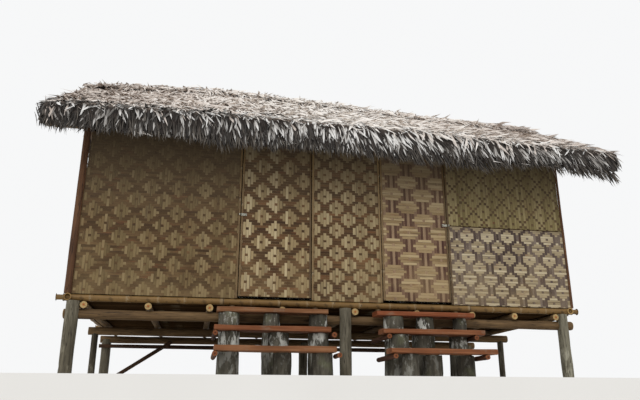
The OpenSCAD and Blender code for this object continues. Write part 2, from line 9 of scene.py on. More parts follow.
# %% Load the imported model
import math
import random
from contextlib import contextmanager

import bmesh
import bpy
import numpy as np
from mathutils import Matrix, Vector


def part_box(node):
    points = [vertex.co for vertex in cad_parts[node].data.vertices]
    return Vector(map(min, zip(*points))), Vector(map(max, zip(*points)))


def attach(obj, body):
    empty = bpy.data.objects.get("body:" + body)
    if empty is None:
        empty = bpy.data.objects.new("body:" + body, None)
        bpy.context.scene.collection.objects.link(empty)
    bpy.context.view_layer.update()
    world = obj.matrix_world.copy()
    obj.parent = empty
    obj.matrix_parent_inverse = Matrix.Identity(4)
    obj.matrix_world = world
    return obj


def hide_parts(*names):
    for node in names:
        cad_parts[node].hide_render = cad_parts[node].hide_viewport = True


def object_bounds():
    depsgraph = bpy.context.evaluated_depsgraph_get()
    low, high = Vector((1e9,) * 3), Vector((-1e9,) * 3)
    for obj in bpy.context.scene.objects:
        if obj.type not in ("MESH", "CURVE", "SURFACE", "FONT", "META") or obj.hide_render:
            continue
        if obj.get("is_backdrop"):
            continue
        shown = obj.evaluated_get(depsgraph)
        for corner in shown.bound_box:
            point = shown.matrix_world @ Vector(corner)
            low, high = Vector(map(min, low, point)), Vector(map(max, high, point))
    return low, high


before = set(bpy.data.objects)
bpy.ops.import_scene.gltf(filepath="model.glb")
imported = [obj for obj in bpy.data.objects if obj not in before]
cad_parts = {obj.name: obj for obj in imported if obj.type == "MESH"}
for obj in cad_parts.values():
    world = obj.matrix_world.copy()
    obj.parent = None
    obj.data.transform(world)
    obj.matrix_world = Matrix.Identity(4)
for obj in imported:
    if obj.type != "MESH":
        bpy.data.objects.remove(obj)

cad_box = [list(corner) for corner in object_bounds()]
print("solids:", len(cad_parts), "box:", [[round(c, 3) for c in corner] for corner in cad_box])

# %% [markdown]
# ## Where the house stands
# All sizes below are metres, and heights count from the ground. The house has a corner of its
# own: the foot of the front wall at its left end. Two solids give that corner, because the
# beams start at the left end and the middle panel lies in the wall. `at` turns a place that is
# counted from the corner into a place in the scene.

# %% The house corner and the heights
panel_low, panel_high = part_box("front_wall_middle")
CORNER = Vector((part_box("beams")[0].x, panel_low.y, 0))
WALL_FOOT = panel_low.z
WALL_TOP = panel_high.z
HOUSE_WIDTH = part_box("front_wall_right_lower")[1].x - CORNER.x
HOUSE_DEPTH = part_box("rear_wall")[1].y - CORNER.y
MAT_DEPTH = 0.006


def at(x, y, z):
    return CORNER + Vector((x, y, z))


print("house", round(HOUSE_WIDTH, 3), "by", round(HOUSE_DEPTH, 3), "wall from", round(WALL_FOOT, 3))

# %% [markdown]
# ## The viewpoint
# The photographer stood below the house on the slope and looked up at it. The viewpoint was
# found by fitting the corners of the wall, the roof and the steps. The lens is given for a
# sensor 36 mm wide. The three directions of the camera are worked out from its turn and tilt,
# and become the columns of its matrix.

# %% Camera
LENS = 35.16
SENSOR = 36
VIEWPOINT = at(1.32, -6.645, -0.242)
TURN, TILT = math.radians(11.0), math.radians(17.98)

forward = Vector((math.sin(TURN) * math.cos(TILT), math.cos(TURN) * math.cos(TILT), math.sin(TILT)))
right = Vector((math.cos(TURN), -math.sin(TURN), 0))
up = right.cross(forward)
bpy.ops.object.camera_add()
camera = bpy.context.object
camera.matrix_world = Matrix.Translation(VIEWPOINT) @ Matrix((right, up, -forward)).transposed().to_4x4()
camera.data.lens = LENS
camera.data.sensor_width = SENSOR
bpy.context.scene.camera = camera
print("camera at", [round(c, 3) for c in VIEWPOINT])

# %% [markdown]
# ## Writing a finish in Python
# A material is a tree of nodes, and most nodes do sums. `Value` wraps one grey socket, so that
# `1 - mask` or `grain * 0.3` adds the Math nodes by itself.

# %% Values
class Value:
    """A grey value that varies over a surface and takes part in sums."""

    def __init__(self, finish, socket):
        self.finish, self.socket = finish, socket

    def math(self, operation, *others, clamp=False):
        settings = {"operation": operation, "use_clamp": clamp}
        node = self.finish.node("ShaderNodeMath", settings, dict(enumerate((self, *others))))
        return Value(self.finish, node.outputs[0])

    def __add__(self, other):
        return self.math("ADD", other)

    def __sub__(self, other):
        return self.math("SUBTRACT", other)

    def __mul__(self, other):
        return self.math("MULTIPLY", other)

    def __rsub__(self, other):
        return (self * -1).math("ADD", other)

    __radd__ = __add__
    __rmul__ = __mul__

    def held(self):
        """The value kept between 0 and 1."""
        return self.math("ADD", 0.0, clamp=True)

    def above(self, low, high):
        """0 up to low, 1 from high on, and a smooth rise between them."""
        settings = {"interpolation_type": "SMOOTHSTEP"}
        inputs = {"Value": self, "From Min": low, "From Max": high}
        node = self.finish.node("ShaderNodeMapRange", settings, inputs)
        return Value(self.finish, node.outputs[0])


# %% [markdown]
# ## A finish
# `Finish` holds a material: `node` makes any node from its type, its settings and its inputs.
# The settings come first, because they decide which sockets a node has. The methods below it
# make the few kinds of node that this house needs, and `done` feeds the shader.

# %% Finishes
class Finish:
    """A material whose nodes are written as Python."""

    def __init__(self, name, roughness=0.8, metallic=0.0, gloss=0.5):
        self.material = bpy.data.materials.new(name)
        self.material.use_nodes = True
        self.tree = self.material.node_tree
        self.shader = self.tree.nodes["Principled BSDF"]
        self.shader.inputs["Roughness"].default_value = roughness
        self.shader.inputs["Metallic"].default_value = metallic
        self.shader.inputs["Specular IOR Level"].default_value = gloss
        self.place = self.node("ShaderNodeTexCoord").outputs["Object"]
        self.own = self.node("ShaderNodeAttribute", {"attribute_name": "own"}).outputs["Vector"]

    def node(self, kind, settings=None, inputs=None):
        node = self.tree.nodes.new(kind)
        for name, value in (settings or {}).items():
            if name == "stops":
                self.set_stops(node.color_ramp.elements, value)
            else:
                setattr(node, name, value)
        for name, value in (inputs or {}).items():
            self.feed(node.inputs[name], value)
        return node

    def set_stops(self, elements, stops):
        while len(elements) < len(stops):
            elements.new(1.0)
        for element, (position, colour) in zip(elements, stops):
            element.position, element.color = position, colour

    def feed(self, socket, value):
        value = value.socket if isinstance(value, Value) else value
        if isinstance(value, bpy.types.NodeSocket):
            self.tree.links.new(value, socket)
        else:
            socket.default_value = value

    def attribute(self, name):
        return Value(self, self.node("ShaderNodeAttribute", {"attribute_name": name}).outputs["Fac"])

    def product(self, first, second):
        """Two vectors or colours multiplied."""
        settings, inputs = {"operation": "MULTIPLY"}, {0: first, 1: second}
        return self.node("ShaderNodeVectorMath", settings, inputs).outputs[0]

    def height(self):
        parts = self.node("ShaderNodeSeparateXYZ", None, {0: self.place})
        return Value(self, parts.outputs["Z"])

    def noise(self, scale, detail=3.0, roughness=0.55, place=None):
        """Clouds from 0 to 1; scale is one number, or one for each axis."""
        scale = scale if isinstance(scale, tuple) else (scale,) * 3
        inputs = {"Vector": self.product(place or self.place, scale), "Scale": 1.0,
                  "Detail": detail, "Roughness": roughness}
        return Value(self, self.node("ShaderNodeTexNoise", None, inputs).outputs["Fac"])

    def grain(self, scale, detail=3.0, roughness=0.55):
        """Clouds that follow each copy of a model, by the attribute own."""
        return self.noise(scale, detail, roughness, self.own)

    def blend(self, mask, first, second):
        """The first colour where the mask is 0 and the second where it is 1."""
        node = self.node("ShaderNodeMix", {"data_type": "RGBA"}, {0: mask, 6: first, 7: second})
        return node.outputs[2]

    def shaded(self, colour, amount):
        """A colour made darker or lighter by a grey amount."""
        grey = self.node("ShaderNodeCombineXYZ", None, {0: amount, 1: amount, 2: amount}).outputs[0]
        return self.product(colour, grey)

    def ramp(self, value, *stops):
        node = self.node("ShaderNodeValToRGB", {"stops": stops}, {0: value})
        return node.outputs["Color"]

    def done(self, colour, roughness=None, relief=None, depth=0.001):
        """Feeds the shader; relief is a height from 0 to 1 over a depth in metres."""
        self.feed(self.shader.inputs["Base Color"], colour)
        if roughness is not None:
            self.feed(self.shader.inputs["Roughness"], roughness)
        if relief is not None:
            inputs = {"Height": relief, "Distance": depth, "Strength": 1.0}
            bump = self.node("ShaderNodeBump", None, inputs)
            self.feed(self.shader.inputs["Normal"], bump.outputs["Normal"])
        return self.material


def tint(red, green, blue):
    """A colour given in the usual 0 to 255 steps, as the linear value that nodes use."""
    steps = [c / 255 for c in (red, green, blue)]
    linear = [c / 12.92 if c <= 0.04045 else ((c + 0.055) / 1.055) ** 2.4 for c in steps]
    return (*linear, 1.0)


print("a mid brown is", [round(c, 3) for c in tint(120, 90, 60)])

# %% [markdown]
# ## Working in the scene
# The loader leaves the solids selected and an operator acts on all that is selected, so each
# new piece starts from a clean selection. `finished` closes a piece: its place goes into its
# mesh, it takes its finish, it rides on a body of the model and it hides the solids that it
# stands for. `edited` opens a piece in Edit Mode for the lines under it.

# %% Helpers for pieces
def start_clean():
    if bpy.context.object and bpy.context.object.mode != "OBJECT":
        bpy.ops.object.mode_set(mode="OBJECT")
    bpy.ops.object.select_all(action="DESELECT")


def make_active(piece):
    start_clean()
    piece.select_set(True)
    bpy.context.view_layer.objects.active = piece


def finished(piece, name, body, slot, *finishes, replaces=()):
    make_active(piece)
    bpy.ops.object.transform_apply(location=True, rotation=True, scale=True)
    piece.name = piece.data.name = name
    kinds = [face.material_index for face in piece.data.polygons]
    piece.data.materials.clear()
    for finish in finishes:
        piece.data.materials.append(finish)
    piece.data.polygons.foreach_set("material_index", kinds)
    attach(piece, body)
    if replaces:
        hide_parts(*replaces)
    triangles = sum(len(face.vertices) - 2 for face in piece.data.polygons)
    print(f"{name}: {triangles} triangles")


def apply_modifiers(piece):
    make_active(piece)
    for modifier in list(piece.modifiers):
        bpy.ops.object.modifier_apply(modifier=modifier.name)


@contextmanager
def edited(piece):
    """Edit mode on one piece, with all of it selected."""
    make_active(piece)
    bpy.ops.object.mode_set(mode="EDIT")
    bpy.ops.mesh.select_all(action="SELECT")
    yield
    bpy.ops.object.mode_set(mode="OBJECT")


def smoothed(piece, angle):
    make_active(piece)
    bpy.ops.object.shade_smooth_by_angle(angle=math.radians(angle))


# %% [markdown]
# ## Many copies of one model
# Leaves, logs and lengths of bamboo repeat, some of them thousands of times. Each is modelled
# once, and `laid_out` writes all its copies into one mesh. A copy is placed by a matrix and gets
# a tone from 0 to 1, so that no two leaves look alike. Finishes read four attributes: `tone`,
# `along`, which runs from 0 at the root of a model to 1 at its tip, `rim`, the distance from the
# middle line, and `own`, the place of a point in its own copy in metres, so that grain follows
# each pole or plank wherever it points. The tone also shifts that place, so that two copies
# never show the same grain.

# %% Copies joined in one mesh
GRAIN_SHIFT = np.array((37.0, 19.0, 11.0))


def model_arrays(model):
    """Points and faces of a model, and how far each point is along its length."""
    mesh = model.data
    points = np.array([v.co for v in mesh.vertices])
    faces = [tuple(face.vertices) for face in mesh.polygons]
    along = (points[:, 1] - points[:, 1].min()) / np.ptp(points[:, 1])
    return points, faces, along


def laid_out(name, models, copies):
    """One object from copies, each (index of its model, matrix, tone, and for a log its taper)."""
    arrays = [model_arrays(model) for model in models]
    points, faces, tones, along, rims, own, first = [], [], [], [], [], [], 0
    for index, matrix, tone, *taper in copies:
        model_points, model_faces, model_along = arrays[index]
        if taper:
            growth = 1 + (model_points[:, 1:2] - 0.5) * taper[0]
            model_points = model_points * np.hstack((growth, np.ones_like(growth), growth))
        scale = np.array(matrix.to_scale())
        own.append(model_points * scale + GRAIN_SHIFT * tone)
        matrix = np.array(matrix)
        points.append(model_points @ matrix[:3, :3].T + matrix[:3, 3])
        faces += [tuple(first + i for i in face) for face in model_faces]
        tones.append(np.full(len(model_points), tone))
        along.append(model_along)
        rims.append(np.hypot(model_points[:, 0], model_points[:, 2]))
        first += len(model_points)
    mesh = bpy.data.meshes.new(name)
    mesh.from_pydata(np.concatenate(points).tolist(), [], faces)
    for label, values in (("tone", tones), ("along", along), ("rim", rims)):
        attribute = mesh.attributes.new(label, "FLOAT", "POINT")
        attribute.data.foreach_set("value", np.concatenate(values))
    places = np.concatenate(own).astype(np.float32).ravel()
    mesh.attributes.new("own", "FLOAT_VECTOR", "POINT").data.foreach_set("vector", places)
    piece = bpy.data.objects.new(name, mesh)
    bpy.context.scene.collection.objects.link(piece)
    return piece


def drop_models(*models):
    for model in models:
        bpy.data.objects.remove(model)


print("helpers are ready")

# %% [markdown]
# ## A plain studio
# The house stands on a pale terrace whose front edge lies just before the lowest tread, since
# the viewpoint is lower than the feet of the posts. The light is that of a bright overcast day:
# an even sky all round, and one broad lamp from the upper left of the viewer for a little shape.
# What the camera sees behind the house is a plain white, which adds no light to the house.

# %% Terrace, sky and lamp
TERRACE_EDGE = -0.765
TERRACE_SIZE = (90, 40, 6)
WORLD_LIGHT = 0.78
WHITE = (0.93, 0.935, 0.94, 1)
LAMP_STRENGTH = 1.0
LAMP_SPREAD = math.radians(45)
LAMP_WAY = Vector((0.35, 0.75, -0.75))

bpy.context.scene.view_settings.view_transform = "Standard"
start_clean()
terrace_middle = at(HOUSE_WIDTH / 2, TERRACE_EDGE + TERRACE_SIZE[1] / 2, -TERRACE_SIZE[2] / 2)
bpy.ops.mesh.primitive_cube_add(size=1, location=terrace_middle, scale=TERRACE_SIZE)
terrace = bpy.context.object
stone = Finish("terrace", roughness=0.9)
clouds = stone.noise(0.6, detail=5.0)
terrace.data.materials.append(stone.done(stone.blend(clouds, tint(226, 224, 219), tint(236, 234, 230))))
make_active(terrace)
bpy.ops.object.transform_apply(location=True, rotation=True, scale=True)
terrace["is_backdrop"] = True

world = bpy.data.worlds.new("overcast")
bpy.context.scene.world = world
world.use_nodes = True
nodes, links = world.node_tree.nodes, world.node_tree.links
sky = nodes["Background"]
sky.inputs["Color"].default_value = (1, 1, 1, 1)
sky.inputs["Strength"].default_value = WORLD_LIGHT
kinds = ("ShaderNodeBackground", "ShaderNodeLightPath", "ShaderNodeMath", "ShaderNodeMixShader")
backdrop, ray, seen, mixer = map(nodes.new, kinds)
backdrop.inputs["Color"].default_value = WHITE
seen.operation = "MAXIMUM"
for output, entry in ((ray.outputs["Is Camera Ray"], seen.inputs[0]),
                      (ray.outputs["Is Glossy Ray"], seen.inputs[1]),
                      (seen.outputs[0], mixer.inputs[0]),
                      (sky.outputs[0], mixer.inputs[1]),
                      (backdrop.outputs[0], mixer.inputs[2]),
                      (mixer.outputs[0], nodes["World Output"].inputs["Surface"])):
    links.new(output, entry)

bpy.ops.object.light_add(type="SUN", location=at(-4, -8, 9))
lamp = bpy.context.object
lamp.data.energy = LAMP_STRENGTH
lamp.data.angle = LAMP_SPREAD
lamp.rotation_euler = LAMP_WAY.to_track_quat("-Z", "Y").to_euler()
print("terrace edge", round(at(0, TERRACE_EDGE, 0).y, 3))

# %% [markdown]
# ## Finding the solids of a node
# A node of the model may hold many solids, such as 22 rafters. `solids_of` copies the mesh,
# merges its loose triangles and walks over its edges, so that each solid comes out as its own
# set of points. `poles_of` then reads each round solid as a pole: its two ends and its two
# diameters. Poles that lean, like the posts at the left end, come out leaning.

# %% Read solids and poles
def solids_of(node):
    mesh = bmesh.new()
    mesh.from_mesh(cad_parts[node].data)
    bmesh.ops.remove_doubles(mesh, verts=mesh.verts, dist=1e-5)
    waiting, solids = set(mesh.verts), []
    while waiting:
        stack, points = [waiting.pop()], []
        while stack:
            vertex = stack.pop()
            points.append(vertex.co[:])
            for edge in vertex.link_edges:
                other = edge.other_vert(vertex)
                if other in waiting:
                    waiting.remove(other)
                    stack.append(other)
        solids.append(np.array(points))
    mesh.free()
    solids.sort(key=lambda p: tuple(p.mean(0).round(3)))
    return solids


def pole_in(points, direction):
    """Start, end and both diameters of a round solid."""
    middle = (points.max(0) + points.min(0)) / 2
    if direction is None:
        spread = points - points.mean(0)
        direction = np.linalg.eigh(spread.T @ spread)[1][:, -1]
    direction = direction * np.sign(direction[np.abs(direction).argmax()])
    reach = (points - middle) @ direction
    aside = np.linalg.norm(points - middle - np.outer(reach, direction), axis=1)
    halves = [aside[reach < 0], aside[reach > 0]]
    diameters = [2 * float(np.median(half)) for half in halves]
    ends = [Vector(middle + direction * r) for r in (reach.min(), reach.max())]
    return ends[0], ends[1], diameters[0], diameters[1]


def poles_of(node, direction=None):
    return [pole_in(points, direction) for points in solids_of(node)]


UPWARD = np.array((0.0, 0.0, 1.0))
print("rafters:", len(poles_of("rafters")), "first", [round(d, 3) for d in poles_of("rafters")[0][2:]])

# %% [markdown]
# ## Bamboo by the length between two nodes
# Most of the frame is bamboo: a smooth tube that swells to a ring every 25 to 40 cm, where a
# leaf once grew. One such length is modelled once. It starts as a ring of edges that is
# extruded and resized step by step, as one would by hand: out over the ridge of the node, into
# the groove behind it, then along the slim middle. A second small model closes the end of a
# pole: a thick rim and a hollow. Poles are then laid out from copies, each length turned and
# scaled to its pole.

# %% The models of a bamboo pole
def extruded_ring(name, sides, profile):
    """A tube along Y made by extruding a ring; profile gives (place, radius)."""
    start_clean()
    place, radius = profile[0]
    bpy.ops.mesh.primitive_circle_add(vertices=sides, radius=radius, location=(0, 0, 0),
                                      rotation=(math.pi / 2, 0, 0))
    ring = bpy.context.object
    bpy.ops.object.transform_apply(location=True, rotation=True, scale=True)
    with edited(ring):
        for next_place, next_radius in profile[1:]:
            move = {"value": (0, next_place - place, 0)}
            bpy.ops.mesh.extrude_region_move(TRANSFORM_OT_translate=move)
            growth = next_radius / radius
            bpy.ops.transform.resize(value=(growth, 1, growth))
            place, radius = next_place, next_radius
        bpy.ops.mesh.select_all(action="SELECT")
        bpy.ops.mesh.normals_make_consistent(inside=False)
    ring.name = name
    return ring


def capped(name, sides, profile):
    """The same with both ends filled."""
    tube = extruded_ring(name, sides, profile)
    with edited(tube):
        bpy.ops.mesh.fill_holes(sides=sides)
        bpy.ops.mesh.normals_make_consistent(inside=False)
    return tube


NODE_RIDGE = ((0.0, 0.512), (0.014, 0.535), (0.032, 0.508), (0.06, 0.49))
LENGTH = (*NODE_RIDGE, (0.5, 0.478), (0.93, 0.492), (1.0, 0.512))
THIN_LENGTH = ((0.0, 0.512), (0.02, 0.54), (0.05, 0.49), (1.0, 0.512))
HOLLOW = ((0.9, 0.01), (0.9, 0.36), (0.0, 0.37), (0.0, 0.512))
bamboo_length = extruded_ring("bamboo length", 12, LENGTH)
thin_length = extruded_ring("thin length", 8, THIN_LENGTH)
bamboo_end = extruded_ring("bamboo end", 12, HOLLOW)
thin_end = extruded_ring("thin end", 8, HOLLOW)
print("faces in a length:", len(bamboo_length.data.polygons))

# %% [markdown]
# ## Laying out poles
# `laid_bamboo` walks along each pole of a node and drops a length about every 33 cm, with an
# end model at both ends. The pole keeps the diameter of its solid.

# %% Lay out bamboo poles
NODE_STEP = 0.33
POLE_SHARE = 0.985
MERGE_GAP = 0.0002
ROUND_ANGLE = 40


def along_axis(start, end):
    """A turn that brings the Y axis onto a pole."""
    return (end - start).to_track_quat("Y", "Z").to_matrix().to_4x4()


def bamboo_copies(poles, chance):
    copies = []
    for start, end, first, last in poles:
        span, tone, turn = (end - start).length, chance.random(), along_axis(start, end)
        count = max(1, round(span / (NODE_STEP * chance.uniform(0.85, 1.15))))
        cuts = [0.0] + [(k + chance.uniform(-0.12, 0.12)) / count for k in range(1, count)] + [1.0]
        diameter = (first + last) / 2 * POLE_SHARE
        roll = Matrix.Rotation(chance.uniform(0, 0.5), 4, "Y")
        for low, high in zip(cuts, cuts[1:]):
            scale = Matrix.Diagonal((diameter, (high - low) * span, diameter, 1))
            copies.append((0, Matrix.Translation(start.lerp(end, low)) @ turn @ roll @ scale, tone))
        scale = Matrix.Scale(diameter, 4)
        about_face = Matrix.Rotation(math.pi, 4, "Z")
        copies.append((1, Matrix.Translation(start) @ turn @ roll @ scale, tone))
        copies.append((1, Matrix.Translation(end) @ turn @ roll @ about_face @ scale, tone))
    return copies


def closed(piece):
    """Merges the copies where they meet and smooths what is round."""
    with edited(piece):
        bpy.ops.mesh.remove_doubles(threshold=MERGE_GAP)
        bpy.ops.mesh.normals_make_consistent(inside=False)
    smoothed(piece, ROUND_ANGLE)


def laid_bamboo(name, node, finish, seed, models=(bamboo_length, bamboo_end), slot="frame_bamboo"):
    piece = laid_out(name, models, bamboo_copies(poles_of(node), random.Random(seed)))
    closed(piece)
    finished(piece, name, "house", slot, finish, replaces=(node,))


print("bamboo can be laid out")

# %% [markdown]
# ## The finish of bamboo
# Old bamboo is straw to olive brown, darker towards black where smoke and rain reach it. It is
# streaked along its length, has a pale band of wax below each node and a dark line on it, and
# grows dots of mould. Each pole has its own tone. The streaks follow the pole through the
# attribute `own`, which holds the place of a point in its own pole.

# %% Bamboo finish
def bamboo_finish(name, dark, mid, light, gloss=0.25):
    cane = Finish(name, roughness=0.5, gloss=gloss)
    tone, along = cane.attribute("tone"), cane.attribute("along")
    streaks = cane.grain((60, 5, 60), detail=4)
    patches = cane.grain((5, 3, 5), detail=4)
    spread = (tone * 0.5 + streaks * 0.55 + patches * 0.75 - 0.42).held()
    colour = cane.ramp(spread, (0.0, dark), (0.45, mid), (1.0, light))
    ring = along.above(0.955, 0.985)
    colour = cane.blend(ring * 0.75, colour, tint(46, 34, 24))
    wax = along.above(0.86, 0.93) * (1 - ring)
    colour = cane.blend(wax * 0.3, colour, tint(168, 156, 130))
    mould = cane.grain((26, 18, 26), detail=5, roughness=0.7).above(0.58, 0.66)
    colour = cane.blend(mould * 0.55, colour, tint(44, 36, 28))
    rough = mould * 0.3 + streaks * 0.2 + 0.36
    relief = streaks * 0.5 + mould * 0.4
    return cane.done(colour, rough, relief, 0.0012)


SILL_CANE = bamboo_finish("sill cane", tint(74, 54, 28), tint(132, 102, 58), tint(178, 148, 94))
FRAME_CANE = bamboo_finish("frame cane", tint(62, 48, 32), tint(104, 84, 56), tint(150, 128, 90))
SMOKED_CANE = bamboo_finish("smoked cane", tint(46, 36, 26), tint(84, 66, 46), tint(128, 106, 76))
print("bamboo finishes:", SILL_CANE.name, FRAME_CANE.name, SMOKED_CANE.name)

# %% The bamboo of the frame
THIN = (thin_length, thin_end)
laid_bamboo("sill_canes", "sills", SILL_CANE, 11, slot="sill_bamboo")
laid_bamboo("corner_canes", "corner_posts", FRAME_CANE, 12)
laid_bamboo("door_post_canes", "door_posts", FRAME_CANE, 13)
laid_bamboo("stud_canes", "rear_studs", FRAME_CANE, 14)
laid_bamboo("plate_canes", "wall_plates", SMOKED_CANE, 15)
laid_bamboo("tie_canes", "tie_beams", SMOKED_CANE, 16)
laid_bamboo("king_canes", "king_posts", SMOKED_CANE, 17)
laid_bamboo("ridge_cane", "ridge_pole", SMOKED_CANE, 18)
laid_bamboo("rafter_canes", "rafters", SMOKED_CANE, 19, THIN)
laid_bamboo("lath_canes", "thatch_laths", SMOKED_CANE, 20, THIN)

# %% [markdown]
# ## Woven walls
# The walls are mats of split bamboo, woven flat and tied to the frame. Strips about 3 cm wide
# run up and across, and the weaver makes a pattern by choosing at each crossing which strip
# lies in front. In these mats that makes diamonds, each with a dark middle. A picture of that
# would look painted, so the strips are modelled: one repeat of the pattern becomes a tile of
# ribbons that step forward and back, arrays repeat the tile without seams, bisect trims it to
# the outline of its solid, and Solidify gives each strip its thickness.

# %% One repeat of a pattern
STRIP_STEP = 0.0013
STRIP_THICKNESS = 0.0012
STRIP_COVER = 0.93
STRIP_EASE = 0.3
SEAM_GAP = 0.0001


def diamonds(columns, rows, reach, widest=9, tallest=9):
    """Tells of a crossing whether it lies in a diamond, whose tips may be cut off."""
    def in_front(i, j):
        for middle_i, middle_j in ((0, 0), (columns / 2, rows / 2)):
            across = abs((i - middle_i + columns / 2) % columns - columns / 2)
            along = abs((j - middle_j + rows / 2) % rows - rows / 2)
            if across + along == 0:
                return False
            if across + along <= reach and across <= widest and along <= tallest:
                return True
        return False
    return in_front


def ribbon(levels, pitch):
    """Places along a strip and its depth there, for one repeat."""
    ease, end = STRIP_EASE * pitch, len(levels) * pitch
    seam = (levels[-1] + levels[0]) / 2
    path = [(0.0, seam)]
    for k, level in enumerate(levels):
        if level != levels[k - 1]:
            if k:
                path.append((k * pitch - ease, levels[k - 1]))
            path.append((k * pitch + ease, level))
    if levels[-1] != levels[0]:
        path.append((end - ease, levels[-1]))
    return path + [(end, seam)]


# %% Ribbons of one tile
def weave_tile(name, columns, rows, upright_in_front, pitch_x, pitch_z):
    """A tile in the plane of X and Z; material 0 is the upright strips, 1 the level ones."""
    points, faces, kinds = [], [], []

    def add_strip(path, middle, half_width, upright):
        for k, (place, depth) in enumerate(path):
            for side in (-half_width, half_width):
                aside = middle + side
                points.append((aside, depth, place) if upright else (place, depth, aside))
            if k:
                last = len(points)
                faces.append((last - 4, last - 3, last - 1, last - 2))
                kinds.append(0 if upright else 1)

    for i in range(columns):
        levels = [-STRIP_STEP if upright_in_front(i, j) else STRIP_STEP for j in range(rows)]
        add_strip(ribbon(levels, pitch_z), (i + 0.5) * pitch_x, STRIP_COVER * pitch_x / 2, True)
    for j in range(rows):
        levels = [STRIP_STEP if upright_in_front(i, j) else -STRIP_STEP for i in range(columns)]
        add_strip(ribbon(levels, pitch_x), (j + 0.5) * pitch_z, STRIP_COVER * pitch_z / 2, False)
    mesh = bpy.data.meshes.new(name)
    mesh.from_pydata(points, [], faces)
    mesh.polygons.foreach_set("material_index", kinds)
    tile = bpy.data.objects.new(name, mesh)
    bpy.context.scene.collection.objects.link(tile)
    return tile


# %% [markdown]
# ## From a tile to a mat
# `woven` starts the first tile below and left of the panel, at a place that puts a diamond where
# the wall has one, and repeats it past the other side. A mat is made flat at the origin, and a
# matrix then stands it in its wall. Its outline is the hull of its solid's points, seen in the
# plane of the mat, so slanted edges and gables come out right. Bisect cuts along each edge of
# the outline; it takes a direction of length 1, and a longer one would turn the cut. Each strip
# gets a tone of its own from its number.

# %% Outline of a mat
def hull_of(points):
    """Corners of the outline round points, given as pairs."""
    points = sorted(set(map(tuple, np.round(points, 5))))
    half_hulls = []
    for run in (points, points[::-1]):
        hull = []
        for point in run:
            while len(hull) > 1:
                ahead, back = np.subtract(hull[-1], hull[-2]), np.subtract(point, hull[-2])
                if ahead[0] * back[1] - ahead[1] * back[0] > 1e-9:
                    break
                hull.pop()
            hull.append(point)
        half_hulls += hull[:-1]
    return half_hulls


def trim(piece, outline):
    with edited(piece):
        for start, end in zip(outline, outline[1:] + outline[:1]):
            outward = Vector((end[1] - start[1], 0, start[0] - end[0])).normalized()
            bpy.ops.mesh.select_all(action="SELECT")
            bpy.ops.mesh.bisect(plane_co=(start[0], 0, start[1]), plane_no=outward, clear_outer=True)


# %% Tones of the strips
STRIP_TONES = 512


def strip_tones(mesh, origin, pitch, chance, stripes):
    """Gives each strip a tone by chance; stripes orders the tones of the upright ones."""
    kinds = np.empty(len(mesh.polygons), int)
    mesh.polygons.foreach_get("material_index", kinds)
    upright = np.zeros(len(mesh.vertices), bool)
    for face, kind in zip(mesh.polygons, kinds):
        if kind == 0:
            upright[list(face.vertices)] = True
    places = np.empty(len(mesh.vertices) * 3)
    mesh.vertices.foreach_get("co", places)
    places = places.reshape(-1, 3)
    column = np.floor((places[:, 0] - origin[0]) / pitch[0]).astype(int)
    row = np.floor((places[:, 2] - origin[1]) / pitch[1]).astype(int)
    table = np.array([chance.random() for _ in range(2 * STRIP_TONES)])
    tones = np.where(upright, table[column % STRIP_TONES], table[STRIP_TONES + row % STRIP_TONES])
    if stripes:
        ordered = np.array(stripes)[column % len(stripes)]
        tones = np.where(upright, ordered + 0.25 * (tones - 0.5), tones)
    mesh.attributes.new("tone", "FLOAT", "POINT").data.foreach_set("value", tones)


# %% Make a mat
def woven(name, body, node, wall, pattern, pitch, middle, finishes, seed, stripes=None):
    """A mat for the solid of a node; wall is a matrix from the flat mat to its place."""
    tile = weave_tile(name, *pattern, *pitch)
    flat = np.array(wall.inverted())
    points = np.concatenate(solids_of(node)) @ flat[:3, :3].T + flat[:3, 3]
    points = points[:, [0, 2]]
    firsts = []
    for way in (0, 1):
        size = pattern[way] * pitch[way]
        first = middle[way] - 0.5 * pitch[way]
        first -= math.ceil((first - points[:, way].min()) / size) * size
        firsts.append(first)
        repeats = tile.modifiers.new("repeats", "ARRAY")
        repeats.use_relative_offset = False
        repeats.use_constant_offset = True
        repeats.constant_offset_displace = (0, 0, size) if way else (size, 0, 0)
        repeats.count = math.ceil((points[:, way].max() - first) / size)
        repeats.use_merge_vertices = True
        repeats.merge_threshold = SEAM_GAP
    apply_modifiers(tile)
    tile.location = (firsts[0], 0, firsts[1])
    bpy.ops.object.transform_apply(location=True, rotation=False, scale=False)
    trim(tile, hull_of(points))
    strip_tones(tile.data, firsts, pitch, random.Random(seed), stripes)
    shell = tile.modifiers.new("shell", "SOLIDIFY")
    shell.thickness = STRIP_THICKNESS
    shell.offset = 0
    apply_modifiers(tile)
    tile.matrix_world = wall
    finished(tile, name, body, "woven_bamboo", *finishes, replaces=(node,))


# %% [markdown]
# ## The finish of the strips
# A strip is either the skin of the cane, which has aged to a pale satin, or the inner side,
# which is browner and stained. It is streaked along its length. Rain reaches the lower part of
# the wall, which has bleached and greyed. The part under the eaves is browned and darkened,
# partly by smoke and partly as painted shade of the eaves.

# %% Strip finish
BLEACHED_FOOT = 0.35


